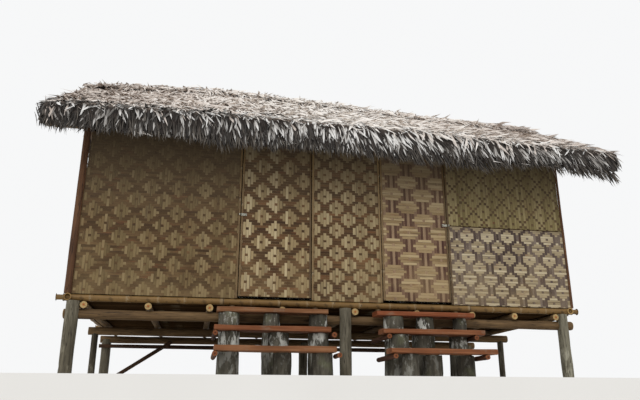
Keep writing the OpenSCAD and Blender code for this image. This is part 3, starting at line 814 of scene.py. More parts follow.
def strip_finish(name, dark, mid, light, upright, smoked):
    strip = Finish(name, roughness=0.7, gloss=0.15)
    tone, height = strip.attribute("tone"), strip.height()

    def drawn_out(across, deep, along, **settings):
        """Clouds drawn out along the strips."""
        return strip.noise((across, deep, along) if upright else (along, deep, across), **settings)

    fine = drawn_out(150, 60, 5, detail=4, roughness=0.65)
    broad = drawn_out(34, 10, 3, detail=4)
    blotch = strip.noise(2.3, detail=5, roughness=0.6)
    spread = (tone * 0.5 + fine * 0.7 + broad * 0.5 + blotch * 0.5 - 0.6).held()
    colour = strip.ramp(spread, (0.05, dark), (0.5, mid), (0.95, light))
    redness = strip.noise((5, 5, 3) if upright else (3, 10, 22), detail=4, roughness=0.65)
    redness = redness.above(0.55, 0.72) * (0.15 if upright else 0.5)
    colour = strip.blend(redness, colour, tint(120, 72, 46))
    streak = drawn_out(44, 10, 1.5, detail=3).above(0.58, 0.68)
    colour = strip.blend(streak * 0.55, colour, tint(56, 39, 32))
    low = (1 - height.above(WALL_FOOT + 0.1, WALL_FOOT + 0.75)) * blotch.above(0.35, 0.7) * BLEACHED_FOOT
    colour = strip.blend(low, colour, tint(152, 130, 92))
    # Painted shade: towards the top of the wall the colour turns to a dark soot brown, partly smoke and
    # partly the shade under the eaves.
    smoke_and_eave_shade = height.above(WALL_FOOT + 1.0 - smoked * 0.5, WALL_TOP + 0.1) * smoked
    soot_and_shade = strip.blend(fine, tint(62, 50, 37), tint(108, 93, 72))
    colour = strip.blend(smoke_and_eave_shade, colour, strip.shaded(soot_and_shade, 1.45 - smoked * 0.55))
    mould = strip.noise(9, detail=6, roughness=0.75).above(0.6, 0.7)
    colour = strip.blend(mould * 0.4, colour, tint(52, 42, 34))
    rough = fine * 0.3 + 0.5
    return strip.done(colour, rough, fine, 0.0006)


def mat_pair(name, skin, inner, smoked=0.75):
    """Finishes of the upright and the level strips; smoked is how far smoke and the painted shade of the
    eaves darken the top.
    """
    return (strip_finish(f"{name} upright", *skin, True, smoked),
            strip_finish(f"{name} level", *inner, False, smoked))


TAN = (tint(80, 64, 40), tint(116, 98, 66), tint(144, 126, 92))
BROWN = (tint(56, 40, 24), tint(82, 62, 39), tint(114, 90, 60))
STRAW = (tint(114, 94, 63), tint(162, 143, 106), tint(196, 180, 144))
RUSSET = (tint(52, 36, 23), tint(82, 60, 38), tint(122, 88, 58))
SAND = (tint(104, 88, 60), tint(148, 130, 96), tint(178, 162, 126))
WHEAT = (tint(124, 101, 69), tint(160, 138, 102), tint(194, 174, 136))
PLUM = (tint(62, 37, 32), tint(112, 85, 68), tint(166, 142, 112))
OLIVE = (tint(92, 81, 46), tint(132, 118, 78), tint(162, 148, 108))
ASH = (tint(116, 101, 76), tint(168, 152, 122), tint(204, 191, 162))
UMBER = (tint(52, 39, 27), tint(78, 62, 42), tint(112, 91, 63))
GREYED = (tint(48, 37, 34), tint(88, 74, 67), tint(136, 122, 108))
print("a set of tones, such as tan:", [[round(c, 3) for c in shade[:3]] for shade in TAN])

# %% [markdown]
# ## The mats of this house
# No two panels are alike. The left one has broad low-contrast diamonds, the left door bright
# ones, the middle one tall narrow ones. On the right door the level strips make long flowers
# and the uprights between them are striped, dark beside light. The right end is in two tiers:
# level flowers below, full diamonds above. The ends and the back, which the photograph does not
# show, take the pattern of the left panel in wider strips.

# %% Mats of the front
FLOWER_10 = (10, 10, diamonds(10, 10, 3))
TALL_FLOWER = (8, 10, diamonds(8, 10, 3, widest=2))
FULL_FLOWER = (8, 8, diamonds(8, 8, 3))
long_flower = diamonds(12, 10, 4, tallest=2)
STRIPED = (12, 10, lambda i, j: not long_flower(i, j))
LEVEL_FLOWER = (8, 10, lambda i, j: not TALL_FLOWER[2](i, j))
front_plane = Matrix.Translation(at(0, MAT_DEPTH, WALL_FOOT))

STRIPES = (1.0, 0.05, 0.4, 0.75, 0.4, 0.05)

woven("mat_left", "house", "front_wall_left", front_plane, FLOWER_10, (0.029, 0.0283),
      (0.747, 0.044), mat_pair("left mat", TAN, BROWN, smoked=0.95), seed=31)
woven("mat_left_door", "left_door", "left_door_leaf", front_plane, FLOWER_10, (0.031, 0.0295),
      (2.11, 0.178), mat_pair("left door mat", STRAW, RUSSET), seed=32)
woven("mat_middle", "house", "front_wall_middle", front_plane, TALL_FLOWER, (0.034, 0.02625),
      (2.804, 0.272), mat_pair("middle mat", SAND, RUSSET), seed=33)
woven("mat_right_door", "right_door", "right_door_leaf", front_plane, STRIPED, (0.0315, 0.0307),
      (3.655, 0.2), mat_pair("right door mat", PLUM, WHEAT), seed=34, stripes=STRIPES)
woven("mat_right_lower", "house", "front_wall_right_lower", front_plane, LEVEL_FLOWER, (0.032, 0.0256),
      (5.138, 0.047), mat_pair("right lower mat", GREYED, ASH), seed=35)
woven("mat_right_upper", "house", "front_wall_right_upper", front_plane, FULL_FLOWER, (0.0312, 0.0332),
      (5.349, 1.12), mat_pair("right upper mat", OLIVE, UMBER), seed=36)

# %% Mats of the ends and the back
strip_foot, strip_top = poles_of("corner_strips")[0][:2]
lean_angle = math.atan2(strip_top.x - strip_foot.x, strip_top.z - strip_foot.z)
WIDE = (0.045, 0.045)
end_pair = mat_pair("end mat", TAN, BROWN)

for name, node, place, lean, quarters, middle, seed in (
        ("mat_left_end", "left_wall", at(MAT_DEPTH, HOUSE_DEPTH, WALL_FOOT), lean_angle, -1, 1.4, 37),
        ("mat_right_end", "right_wall", at(HOUSE_WIDTH - MAT_DEPTH, 0, WALL_FOOT), 0, 1, 1.4, 38),
        ("mat_rear", "rear_wall", at(HOUSE_WIDTH, HOUSE_DEPTH - MAT_DEPTH, WALL_FOOT), 0, 2, 2.8, 39)):
    upright_plane = Matrix.Translation(place) @ Matrix.Rotation(lean, 4, "Y")
    plane = upright_plane @ Matrix.Rotation(quarters * math.pi / 2, 4, "Z")
    woven(name, "house", node, plane, FLOWER_10, WIDE, (middle, 0.3), end_pair, seed)
print("left end leans", round(math.degrees(lean_angle), 2), "degrees")


# %% [markdown]
# ## The thatch underneath
# A palm thatch is laid in courses from the eaves up: leaves folded over a lath, each course
# covering the roots of the one below. What shows is the outer third of each leaf, but between
# the tips one looks into the mass of them. So the roof gets a body first. Each body is a copy
# of its solid, remeshed into small faces, smoothed until the edges of the eaves are round, drawn
# in a little and roughened. The leaves are then planted on it.

# %% Bodies of the roof
from mathutils import noise
from mathutils.bvhtree import BVHTree

BODY_FACE = 0.055
DRAWN_IN = 0.008
ROUGHNESS = 0.02
ROUGH_FINENESS = 9
ROOF_NODES = ("front_thatch", "rear_thatch", "ridge_cap")


def body_of_thatch(node):
    make_active(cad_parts[node])
    bpy.ops.object.duplicate(linked=False)
    body = bpy.context.object
    with edited(body):
        bpy.ops.mesh.remove_doubles(threshold=SEAM_GAP)
    body.data.remesh_voxel_size = BODY_FACE
    bpy.ops.object.voxel_remesh()
    rounding = body.modifiers.new("rounding", "SMOOTH")
    rounding.iterations = 3
    apply_modifiers(body)
    # Painted light and shade: each point gets a share from how far it faces up, and the body's finish
    # paints it sunlit there and in shade where it faces down or outwards.
    facing = [min(1.0, max(0.0, v.normal.z * 1.6 - 0.2)) for v in body.data.vertices]
    body.data.attributes.new("facing", "FLOAT", "POINT").data.foreach_set("value", facing)
    pushes = [v.normal * (ROUGHNESS * noise.noise(v.co * ROUGH_FINENESS) - DRAWN_IN)
              for v in body.data.vertices]
    for vertex, push in zip(body.data.vertices, pushes):
        vertex.co += push
    return body


bodies = {node: body_of_thatch(node) for node in ROOF_NODES}
print({name: len(body.data.polygons) for name, body in bodies.items()})

# %% [markdown]
# ## One leaf
# A dry palm leaflet is a long blade folded along its rib, broad in the middle and pointed. It
# is made as a three-sided tube, extruded and pressed flat, with a few triangles, because
# thousands of them are needed. Forms come from it by curling: most arch, so that the tip comes
# back down to the roof, and some twist to one side.

# %% Leaf models
BLADE = ((0.0, 0.2), (0.45, 0.5), (1.0, 0.03))
LONG_BLADE = ((0.0, 0.25), (0.3, 0.46), (0.65, 0.42), (1.0, 0.02))


def leaf_model(profile, droop, sideways):
    leaf = capped("leaf", 3, profile)
    for vertex in leaf.data.vertices:
        bend = vertex.co.y ** 2
        vertex.co.z -= droop * bend
        vertex.co.x += sideways * bend
    return leaf


ROOF_FORMS = [leaf_model(BLADE, *bend) for bend in ((6, 0.3), (9, -0.4), (5, 1.5), (5, -1.5))]
EAVE_FORMS = [leaf_model(LONG_BLADE, *bend) for bend in ((5, 0.4), (8, -0.3), (2, 0.2), (4, 1.3))]
print("triangles in a leaf:", sum(len(f.vertices) - 2 for f in ROOF_FORMS[0].data.polygons))

# %% [markdown]
# ## Planting leaves
# A leaf is planted by its root: a place, the way it lies and the way it faces. It is then
# turned a little each way by chance. The chance is seeded, so each run gives the same roof.
# `spots` strews places over the faces of a body, and `downhill` is the way that water would
# run there, which is the way that the tips point.

# %% Plant one leaf
LEAF_THICK = 0.035


def stance(lie, face):
    """A turn that brings Y onto one direction and Z towards another."""
    lie, face = Vector(lie).normalized(), Vector(face).normalized()
    side = lie.cross(face).normalized()
    return Matrix((side, lie, side.cross(lie))).transposed().to_4x4()


def planted(root, lie, face, length, width, chance, tone, turn=0.3, lift=0.1, roll=0.4):
    swing = Matrix.Rotation(chance.gauss(0, turn), 4, "Z")
    tip = Matrix.Rotation(chance.gauss(lift, 0.1), 4, "X")
    spin = Matrix.Rotation(chance.gauss(0, roll), 4, "Y")
    size = Matrix.Diagonal((width, length, LEAF_THICK * length, 1))
    matrix = Matrix.Translation(root) @ stance(lie, face) @ swing @ tip @ spin @ size
    return chance.randrange(4), matrix, min(1.0, max(0.0, tone))


def spots(body, per_metre, chance, wanted):
    """Places over the faces that are wanted, each with the way its face looks."""
    mesh, found = body.data, []
    for face in mesh.polygons:
        if not wanted(face.center, face.normal):
            continue
        corners = [mesh.vertices[i].co for i in face.vertices]
        for _ in range(int(face.area * per_metre + chance.random())):
            across, along = chance.random(), chance.random()
            near = corners[0].lerp(corners[1], across)
            place = near.lerp(corners[-1].lerp(corners[-2], across), along)
            found.append((place, face.normal.copy()))
    return found


def downhill(place, normal, lean):
    """The way down over a surface, leaning along the house by a share."""
    outward = 0.5 if place.y > RIDGE_Y else -0.5
    fall = Vector((lean, outward, -1))
    return fall - normal * normal.dot(fall)


def drift(place, fineness):
    """A value from 0 to 1 that changes slowly over the roof."""
    return noise.noise(place * fineness) * 0.5 + 0.5


cap_low, cap_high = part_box("ridge_cap")
RIDGE_Y = (cap_low.y + cap_high.y) / 2
ROOF_LOW, ROOF_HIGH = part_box("front_thatch")
EAVE_RUN = RIDGE_Y - ROOF_LOW.y
CAP_REACH = cap_high.y - RIDGE_Y
ROOF_TOP = cap_high.z
fringe_plate = min(solids_of("front_thatch"), key=lambda points: np.ptp(points[:, 2]))
EAVE_UNDER = fringe_plate[:, 2].max()
FRINGE_LEFT = EAVE_UNDER - fringe_plate[fringe_plate[:, 0] < ROOF_LOW.x + 0.3, 2].min()
FRINGE_RIGHT = EAVE_UNDER - fringe_plate[:, 2].min()
print("eave at", round(EAVE_UNDER, 3), "fringe", round(FRINGE_LEFT, 3), "to", round(FRINGE_RIGHT, 3))

# %% [markdown]
# ## How the leaves change along the roof
# Towards the right end the leaves lean more along the house. Leaves of one bunch look alike, so
# the tone of a leaf drifts over the roof with some chance added, and the middle of the roof has
# bleached most. Leaves whose tips would stick out far, or point up, are left out.

# %% Rules for all leaves
STICK_OUT = 0.055
TIP_RISE = 0.05
EAVE_FACE = 0.25
EAVE_THINS = 0.17


def share_of(x):
    return (x - ROOF_LOW.x) / (ROOF_HIGH.x - ROOF_LOW.x)


def between(value, low, high):
    """0 up to low, 1 from high on and a straight rise between them."""
    return min(1.0, max(0.0, (value - low) / (high - low)))


def bleach_at(x):
    """From 0 at both ends of the roof to 1 in the middle."""
    return 1 - 2 * abs(share_of(x) - 0.5)


def hanging_from(x):
    """Height over the lower edge of the eaves where the leaves begin to hang."""
    return EAVE_FACE - EAVE_THINS * between(share_of(x), 0.3, 0.7)


def combed(place, chance):
    """How far leaves that hang lean to the right."""
    return 0.85 * share_of(place.x) - 0.03 + 0.6 * (drift(place, 3.1) - 0.5) + chance.gauss(0, 0.14)


def fits(leaf):
    """Whether the tip of a leaf lies down and ends near the outline of the roof."""
    tip = leaf[1] @ Vector((0, 1, 0))
    along_roof = ROOF_LOW.x - STICK_OUT < tip.x < ROOF_HIGH.x + STICK_OUT
    lies_down = tip.z < leaf[1].translation.z + TIP_RISE
    return along_roof and lies_down and abs(tip.y - RIDGE_Y) < EAVE_RUN + STICK_OUT


print("bleach at the middle:", round(bleach_at((ROOF_LOW.x + ROOF_HIGH.x) / 2), 2))

# %% [markdown]
# ## Leaves of a slope, of its edges and of the ends
# On the slope the leaves lie every way. A denser row bends down over the edge, and near the
# eaves bleached leaves lie among nearly black ones. Each row is found by a ray that looks down
# on the body of the roof. At both ends leaves cover the sloping edge.

# %% Leaves that lie on the roof
EDGE_DEPTH, TOUSLED_DEPTH = 0.1, 0.12


def on_slope(centre, normal):
    high_on_face = normal.z > -0.2 and centre.z > EAVE_UNDER + hanging_from(centre.x)
    return normal.z > 0.45 or (abs(normal.x) < 0.5 and high_on_face)


def slope_leaves(body, per_metre, chance, wanted=on_slope, bedding=0.004):
    for place, normal in spots(body, per_metre, chance, wanted):
        lie = downhill(place, normal, chance.gauss(0.1 + 1.1 * share_of(place.x), 0.6))
        length, width = chance.uniform(0.12, 0.25), chance.uniform(0.02, 0.046)
        root = place - lie.normalized() * length * 0.3 + normal * bedding
        tone = drift(place, 2.2) * 0.3 + chance.random() * 0.5 + 0.75 * bleach_at(place.x) - 0.14
        yield planted(root, lie, normal, length, width, chance, tone, lift=0.2)


def spread_along(step, chance):
    """Places along the eaves at an uneven step."""
    x = ROOF_LOW.x + 0.01
    while x < ROOF_HIGH.x - 0.01:
        yield x
        x += chance.uniform(0.4, 1.6) * step


def row_on(tree, side, reach, depth, step, chance):
    """Places on the roof in a row of some depth that ends at a reach from the ridge."""
    for x in spread_along(step, chance):
        above = Vector((x, RIDGE_Y + side * (reach - chance.uniform(0.0, depth)), ROOF_TOP + 1))
        place, normal, _, _ = tree.ray_cast(above, Vector((0, 0, -1)))
        if place:
            yield x, place, normal


def edge_leaves(tree, side, reach, step, chance):
    """Leaves that bend down over an edge."""
    for x, place, normal in row_on(tree, side, reach, EDGE_DEPTH, step, chance):
        lie = downhill(place, normal, chance.gauss(0.2 + 0.4 * share_of(x), 0.35))
        tone = drift(place, 2.2) * 0.3 + chance.random() * 0.5 + 0.4 * bleach_at(x) - 0.12
        length, width = chance.uniform(0.13, 0.22), chance.uniform(0.018, 0.034)
        yield planted(place, lie, normal, length, width, chance, tone, lift=-0.04)


def tousled_leaves(tree, side, reach, step, chance):
    """Leaves that lie every way, bleached ones among nearly black ones."""
    for x, place, normal in row_on(tree, side, reach, TOUSLED_DEPTH, step, chance):
        lie = downhill(place, normal, chance.gauss(0.4 * share_of(x), 0.7)) - Vector((0, 0, 0.2))
        bleached = chance.random() < 0.35 + 0.4 * bleach_at(x)
        tone = (0.7 if bleached else -0.1) + 0.3 * chance.random()
        length, width = chance.uniform(0.11, 0.18), chance.uniform(0.018, 0.032)
        root = place + normal * 0.006
        yield planted(root, lie, normal, length, width, chance, tone, lift=0.08)


def end_leaves(body, per_metre, chance):
    """Leaves over the sloping edges at both ends."""
    for place, normal in spots(body, per_metre, chance, lambda c, n: abs(n.x) > 0.5 and n.z > -0.35):
        lie = downhill(place, normal, 0) + normal * 0.1
        length, width = chance.uniform(0.1, 0.22), chance.uniform(0.014, 0.034)
        root = place - lie.normalized() * length * 0.3 - normal * 0.03
        tone = drift(place, 4) * 0.3 + chance.random() * 0.4
        yield planted(root, lie, normal, length, width, chance, tone, turn=0.45, lift=0.2)


# %% [markdown]
# ## Leaves that hang
# The eaves are a hand's length thick. Over their face hang blades, combed to the right towards
# the right end: a dense near-black layer first, less bleached leaves made near black as painted
# shade for the gaps, then pale bunches with those dark gaps between them. More blades and thin
# strands hang below the eaves in uneven tufts. TUFTS gives, for places from the left end to the
# right, how far the tufts reach below the fringe of the solid.

# %% Leaves of the eaves
TUFTS = ((0.0, 0.22, 0.28, 0.42, 0.58, 0.75, 0.84, 0.9, 1.0),
         (0.03, 0.03, 0.1, 0.05, 0.08, 0.11, 0.01, 0.08, 0.11))


def lowest_at(x, side):
    """Height of the lowest tips."""
    fringe = FRINGE_LEFT + (FRINGE_RIGHT - FRINGE_LEFT) * share_of(x)
    uneven = 0.05 * noise.noise(Vector((x * 11, side, 0)))
    return EAVE_UNDER - fringe - np.interp(share_of(x), *TUFTS) - uneven


def face_blades(tree, side, step, chance, pale):
    """Blades over the face of the eaves: a dense dark layer that is painted shade in the gaps, or pale
    bunches over it.
    """
    edge = RIDGE_Y + side * EAVE_RUN
    for x in spread_along(step, chance):
        share = chance.random()
        rise = share * hanging_from(x)
        if pale and noise.noise(Vector((x * 19, rise * 5, side))) < 0.12 - 0.24 * bleach_at(x):
            continue
        outside = Vector((x, edge + side * 0.3, EAVE_UNDER + rise))
        place, normal, _, _ = tree.ray_cast(outside, Vector((0, -side, 0)))
        if place is None:
            continue
        length = min(chance.uniform(0.13, 0.19), place.z - lowest_at(x, side))
        width = chance.uniform(0.018, 0.028) + 0.05 * rise
        if pale:
            tone = 0.3 * share + 0.4 * chance.random() + 0.4 * bleach_at(x) - 0.04
        else:
            tone = 0.5 * chance.random()
        lie = downhill(place, normal, combed(place, chance))
        yield planted(place - normal * 0.004, lie, normal, length, width, chance, tone,
                      turn=0.13, lift=0.3 if pale else 0.2, roll=0.5)


def hanging_leaves(side, step, chance, widths, longer):
    """Leaves that hang below the eaves: blades in tufts, or thin strands that end a little lower."""
    edge = RIDGE_Y + side * EAVE_RUN
    for x in spread_along(step, chance):
        place = Vector((x, edge - side * chance.uniform(-0.01, 0.07), 0))
        low = lowest_at(x, side) + abs(chance.gauss(0, 0.03)) - longer * drift(Vector((x, side, 0)), 7)
        lie = Vector((combed(place, chance), side * chance.gauss(0.05, 0.06), -1)).normalized()
        length = chance.uniform(0.13, 0.21)
        root = Vector((x, place.y, low)) - lie * length
        width, tone = chance.uniform(*widths), 0.1 + 0.6 * chance.random()
        yield planted(root, lie, (0, side, 0.2), length, width, chance, tone,
                      turn=0.06, lift=0.05, roll=0.6)


# %% [markdown]
# ## The finish of the leaves
# Sun bleaches palm leaves from brown to a silver grey, most at their tips, while the gaps
# between them lie in deep shade. Each leaf darkens to a brown towards its root, a painted shade
# where the leaves above cover it, is streaked along its blade and takes its own tone. The body
# is painted as sunlit where it faces up and as in shade where it faces down or outwards.

# %% Leaf finishes
def leaf_finish(name, dark, mid, light, bleached, root_shade=0.5, middle=0.45):
    leaf = Finish(name, roughness=0.75)
    tone, along = leaf.attribute("tone"), leaf.attribute("along")
    veins = leaf.grain((220, 7, 220), detail=3)
    stains = leaf.grain((14, 9, 14), detail=4)
    spread = (tone * 0.8 + veins * 0.35 + stains * 0.4 - 0.28).held()
    colour = leaf.ramp(spread, (0.0, dark), (middle, mid), (1.0, light))
    tip = along.above(0.3, 0.9) * tone.above(0.2, 0.8)
    colour = leaf.blend(tip * 0.7, colour, bleached)
    # Painted shade: each leaf darkens towards its root, where the leaves above would shade it.
    root = 1 - along.above(0.0, 0.4)
    colour = leaf.blend(root * root_shade, colour, tint(70, 58, 50))
    return leaf.done(colour, veins * 0.3 + 0.55, veins, 0.0008)


ROOF_LEAF = leaf_finish("roof leaf", tint(128, 113, 103), tint(214, 201, 190), tint(248, 242, 234),
                        tint(252, 249, 244), root_shade=0.3)
EAVE_LEAF = leaf_finish("eave leaf", tint(44, 40, 36), tint(172, 167, 161), tint(246, 244, 240),
                        tint(253, 252, 249), middle=0.56)
# The strand finish is near black. It colours the strands that hang below the eaves, and the dense
# under-layer of blades over the eave face, which is painted shade in the gaps between the pale bunches.
STRAND_AND_GAP_SHADE = leaf_finish("strand", tint(22, 19, 16), tint(50, 44, 38), tint(108, 100, 91),
                     tint(136, 128, 117))

straw = Finish("straw body", roughness=0.9)
straw_streaks = straw.noise((36, 7, 11), detail=5, roughness=0.7)
# Painted light and shade: one straw in two ramps, one in shade and one in sunlight, mixed by how far the
# body faces up.
shaded = straw.ramp(straw_streaks, (0.3, tint(26, 22, 19)), (0.55, tint(50, 43, 38)),
                    (0.8, tint(84, 74, 64)))
sunny = straw.ramp(straw_streaks, (0.3, tint(74, 63, 55)), (0.55, tint(142, 127, 115)),
                   (0.8, tint(206, 194, 182)))
straw_colour = straw.blend(straw.attribute("facing"), shaded, sunny)
STRAW_BODY = straw.done(straw_colour, 0.9, straw_streaks, 0.012)

# %% The thatch
def tree_of(body):
    mesh = body.data
    return BVHTree.FromPolygons([v.co for v in mesh.vertices], [p.vertices[:] for p in mesh.polygons])


def foliage(name, forms, finish, *groups):
    """One piece from groups of leaves, without the leaves that would stick out."""
    leaves = [leaf for group in groups for leaf in group if fits(leaf)]
    finished(laid_out(name, forms, leaves), name, "house", "thatch", finish)


# leaves for each square metre
SLOPE_LEAVES = {"front": 360, "rear": 280}
END_LEAVES, RIDGE_LEAVES = 400, 330
# metres from leaf to leaf in a row, and from the edge to the tousled rows
STEPS = {"front": 0.005, "rear": 0.008}
TOUSLED_ROWS = (0.0, 0.12, 0.28)

for side, label in ((-1, "front"), (1, "rear")):
    chance, step = random.Random(f"thatch {label}"), STEPS[label]
    body = bodies[f"{label}_thatch"]
    tree = tree_of(body)
    foliage(f"{label}_slope_leaves", ROOF_FORMS, ROOF_LEAF,
            slope_leaves(body, SLOPE_LEAVES[label], chance),
            edge_leaves(tree, side, EAVE_RUN, step * 4, chance))
    foliage(f"{label}_fringe_leaves", EAVE_FORMS, EAVE_LEAF,
            face_blades(tree, side, step * 0.9, chance, pale=True),
            end_leaves(body, END_LEAVES, chance),
            *(tousled_leaves(tree, side, EAVE_RUN - row, step * 1.8, chance) for row in TOUSLED_ROWS))
    foliage(f"{label}_strands", EAVE_FORMS, STRAND_AND_GAP_SHADE,
            face_blades(tree, side, step, chance, pale=False),
            hanging_leaves(side, step * 1.2, chance, widths=(0.014, 0.026), longer=0.0),
            hanging_leaves(side, step * 1.8, chance, widths=(0.006, 0.014), longer=0.06))

chance, cap = random.Random("ridge"), bodies["ridge_cap"]
foliage("ridge_leaves", ROOF_FORMS, ROOF_LEAF,
        slope_leaves(cap, RIDGE_LEAVES, chance, wanted=lambda c, n: n.z > -0.3, bedding=0.018),
        *(edge_leaves(tree_of(cap), side, CAP_REACH, 0.012, chance) for side in (-1, 1)))
for node, body in bodies.items():
    finished(body, f"{node}_body", "house", "thatch", STRAW_BODY, replaces=(node,))
drop_models(*ROOF_FORMS, *EAVE_FORMS)


# %% [markdown]
# ## Round timber
# The posts, beams and joists are trees with the bark off, and the stumps under the treads still
# wear theirs. One log is extruded from a ring: from the middle of one end outwards, along the
# trunk in short steps and in over the other end. Its copies take the place, length and two
# diameters of each solid. `weathered` then moves the surface in and out by noise that is drawn
# out along the grain, which gives shallow swellings, furrows and cracks that are really there.

# %% Log models and weathering
END_FACE = ((0.0, 0.06), (0.0, 0.28), (0.0, 0.44), (0.0, 0.485))
LOG_ANGLE = 50
CLEFT_WIDTH = 0.12


def log_model(name, sides, steps, edge):
    far_end = [(1.0 - place, radius) for place, radius in reversed(END_FACE)]
    trunk = [(edge + (1 - 2 * edge) * k / steps, 0.5) for k in range(steps + 1)]
    return capped(name, sides, (*END_FACE, *trunk, *far_end))


def weathered(piece, swell=0.004, furrow=0.002, fineness=28, crack=0.0):
    values = np.empty(len(piece.data.vertices) * 3, np.float32)
    piece.data.attributes["own"].data.foreach_get("vector", values)
    for vertex, (x, y, z) in zip(piece.data.vertices, values.reshape(-1, 3).tolist()):
        broad = noise.noise(Vector((x * 5, y * 2.5, z * 5)))
        grain = noise.noise(Vector((x * fineness, y * 2.2, z * fineness)))
        cleft = noise.noise(Vector((x * 14, y * 1.3, z * 14)))
        cleft = max(0.0, CLEFT_WIDTH - abs(cleft)) / CLEFT_WIDTH
        vertex.co += vertex.normal * (swell * broad + furrow * grain - crack * cleft ** 2)
        vertex.co.z = max(0.0, vertex.co.z)


def log_copies(poles, chance, trim_by):
    copies = []
    for start, end, first, last in poles:
        turn = along_axis(start, end) @ Matrix.Rotation(chance.uniform(0, 6.28), 4, "Y")
        diameter = (first + last) / 2 * trim_by
        size = Matrix.Diagonal((diameter, (end - start).length, diameter, 1))
        matrix, taper = Matrix.Translation(start) @ turn @ size, (last - first) / diameter
        copies.append((0, matrix, chance.random(), taper))
    return copies


def timber(name, node, slot, finish, model, seed, direction=None, trim_by=0.985, **weathering):
    copies = log_copies(poles_of(node, direction), random.Random(seed), trim_by)
    piece = laid_out(name, (model,), copies)
    weathered(piece, **weathering)
    smoothed(piece, LOG_ANGLE)
    finished(piece, name, "house", slot, finish, replaces=(node,))


post_model = log_model("post", 28, 26, 0.008)
beam_model = log_model("beam", 18, 46, 0.0015)
stump_model = log_model("stump", 40, 22, 0.012)
print("faces in a stump:", len(stump_model.data.polygons))

# %% [markdown]
# ## Finishes of timber
# Wood that stands in the weather turns grey on the ridges of its grain and stays brown in the
# furrows. Cracks are black. Under the floor the poles are brown. The sawn ends stay lighter,
# round a darker heart. `timber_finish` sets the same pattern in the tones of each kind.

# %% Timber finishes
def timber_finish(name, dark, mid, light, bare=None, end=None, heart=None):
    wood = Finish(name, roughness=0.8, gloss=0.2)
    grain = wood.grain((70, 3.5, 70), detail=5, roughness=0.7)
    stains = wood.grain((7, 2.4, 7), detail=5)
    spread = (grain * 0.8 + stains * 0.6 + wood.attribute("tone") * 0.3 - 0.42).held()
    colour = wood.ramp(spread, (0.08, dark), (0.45, mid), (0.9, light))
    if bare:
        worn = wood.grain((10, 3, 10), detail=5, roughness=0.7).above(0.54, 0.62)
        colour = wood.blend(worn * 0.7, colour, bare)
    split = wood.grain((38, 1.6, 38), detail=2)
    crack = split.math("SUBTRACT", 0.5).math("ABSOLUTE").above(0.0, 0.022)
    if end:
        along, rim = wood.attribute("along"), wood.attribute("rim")
        sawn = (1 - along.above(0.0, 0.001)) + along.above(0.999, 1.0)
        rings = wood.blend(rim.above(0.1, 0.24), heart, end)
        colour = wood.blend(sawn, colour, wood.shaded(rings, stains * 0.5 + 0.75))
    colour = wood.blend((1 - crack) * 0.75, colour, tint(30, 24, 20))
    return wood.done(colour, grain * 0.2 + 0.65, grain * 0.6 + crack * 0.4, 0.0022)


POST_WOOD = timber_finish("post wood", tint(48, 43, 34), tint(96, 90, 75), tint(146, 138, 120),
                          bare=tint(130, 124, 107))
PALE_WOOD = timber_finish("pale wood", tint(78, 72, 56), tint(128, 123, 106), tint(176, 172, 154),
                          bare=tint(164, 160, 142))
BEAM_WOOD = timber_finish("beam wood", tint(66, 49, 32), tint(116, 92, 62), tint(160, 135, 100),
                          end=tint(176, 148, 100), heart=tint(158, 92, 46))
DARK_WOOD = timber_finish("dark wood", tint(42, 30, 22), tint(78, 56, 40), tint(116, 88, 66))
BEARER_WOOD = timber_finish("bearer wood", tint(46, 28, 20), tint(84, 54, 38), tint(122, 84, 60),
                            end=tint(124, 74, 44), heart=tint(70, 38, 26))
STRIP_WOOD = timber_finish("strip wood", tint(58, 38, 26), tint(98, 68, 46), tint(138, 102, 74))

POST = ("post_wood", POST_WOOD, post_model)
BEAM = ("pole_wood", BEAM_WOOD, beam_model)
timber("front_post_logs", "front_round_posts", *POST, 51, UPWARD, crack=0.006)
timber("middle_post_logs", "middle_posts", *POST, 52, UPWARD, crack=0.004)
timber("rear_post_logs", "rear_posts", *POST, 53, UPWARD, crack=0.006)
timber("beam_logs", "beams", *BEAM, 54, crack=0.003)
timber("joist_logs", "joists", *BEAM, 55, crack=0.003)
timber("rear_rail_pole", "rear_rail", "dark_pole", DARK_WOOD, beam_model, 56)
timber("rear_brace_pole", "rear_brace", "dark_pole", DARK_WOOD, post_model, 57)
timber("corner_strip_poles", "corner_strips", "dark_pole", STRIP_WOOD, post_model, 58, UPWARD, 0.85)
timber("bearer_poles", "step_bearers", "dark_pole", BEARER_WOOD, post_model, 59, crack=0.003)

# %% [markdown]
# ## Bark on the stumps
# The stumps keep a grey bark, furrowed up and down, with white and pale green lichen in
# crusts and specks. It grows on the upper part, which the splash of the rain does not reach.

# %% Stumps
bark = Finish("bark", roughness=0.9, gloss=0.15)
furrows = bark.grain((34, 6, 34), detail=6, roughness=0.7)
bark_stains = bark.grain((6, 4, 6), detail=4)
bark_spread = (furrows * 0.9 + bark_stains * 0.5 + bark.attribute("tone") * 0.2 - 0.36).held()
bark_colour = bark.ramp(bark_spread, (0.1, tint(30, 28, 23)), (0.5, tint(84, 80, 70)),
                        (0.9, tint(130, 125, 112)))
crust = bark.grain((8, 3.5, 8), detail=6, roughness=0.66).above(0.53, 0.6)
specks = bark.grain((30, 14, 30), detail=4, roughness=0.7).above(0.56, 0.66) * 0.5
lichen = crust.math("MAXIMUM", specks) * (bark.height().above(0.15, 0.35) * 0.75 + 0.25)
bark_colour = bark.blend(lichen * 0.9, bark_colour, tint(206, 206, 197))
algae = bark.grain((5, 5, 5), detail=3).above(0.55, 0.7)
bark_colour = bark.blend(algae * 0.3, bark_colour, tint(112, 116, 84))
BARK = bark.done(bark_colour, 0.9, furrows * 0.8 + lichen * 0.2, 0.006)

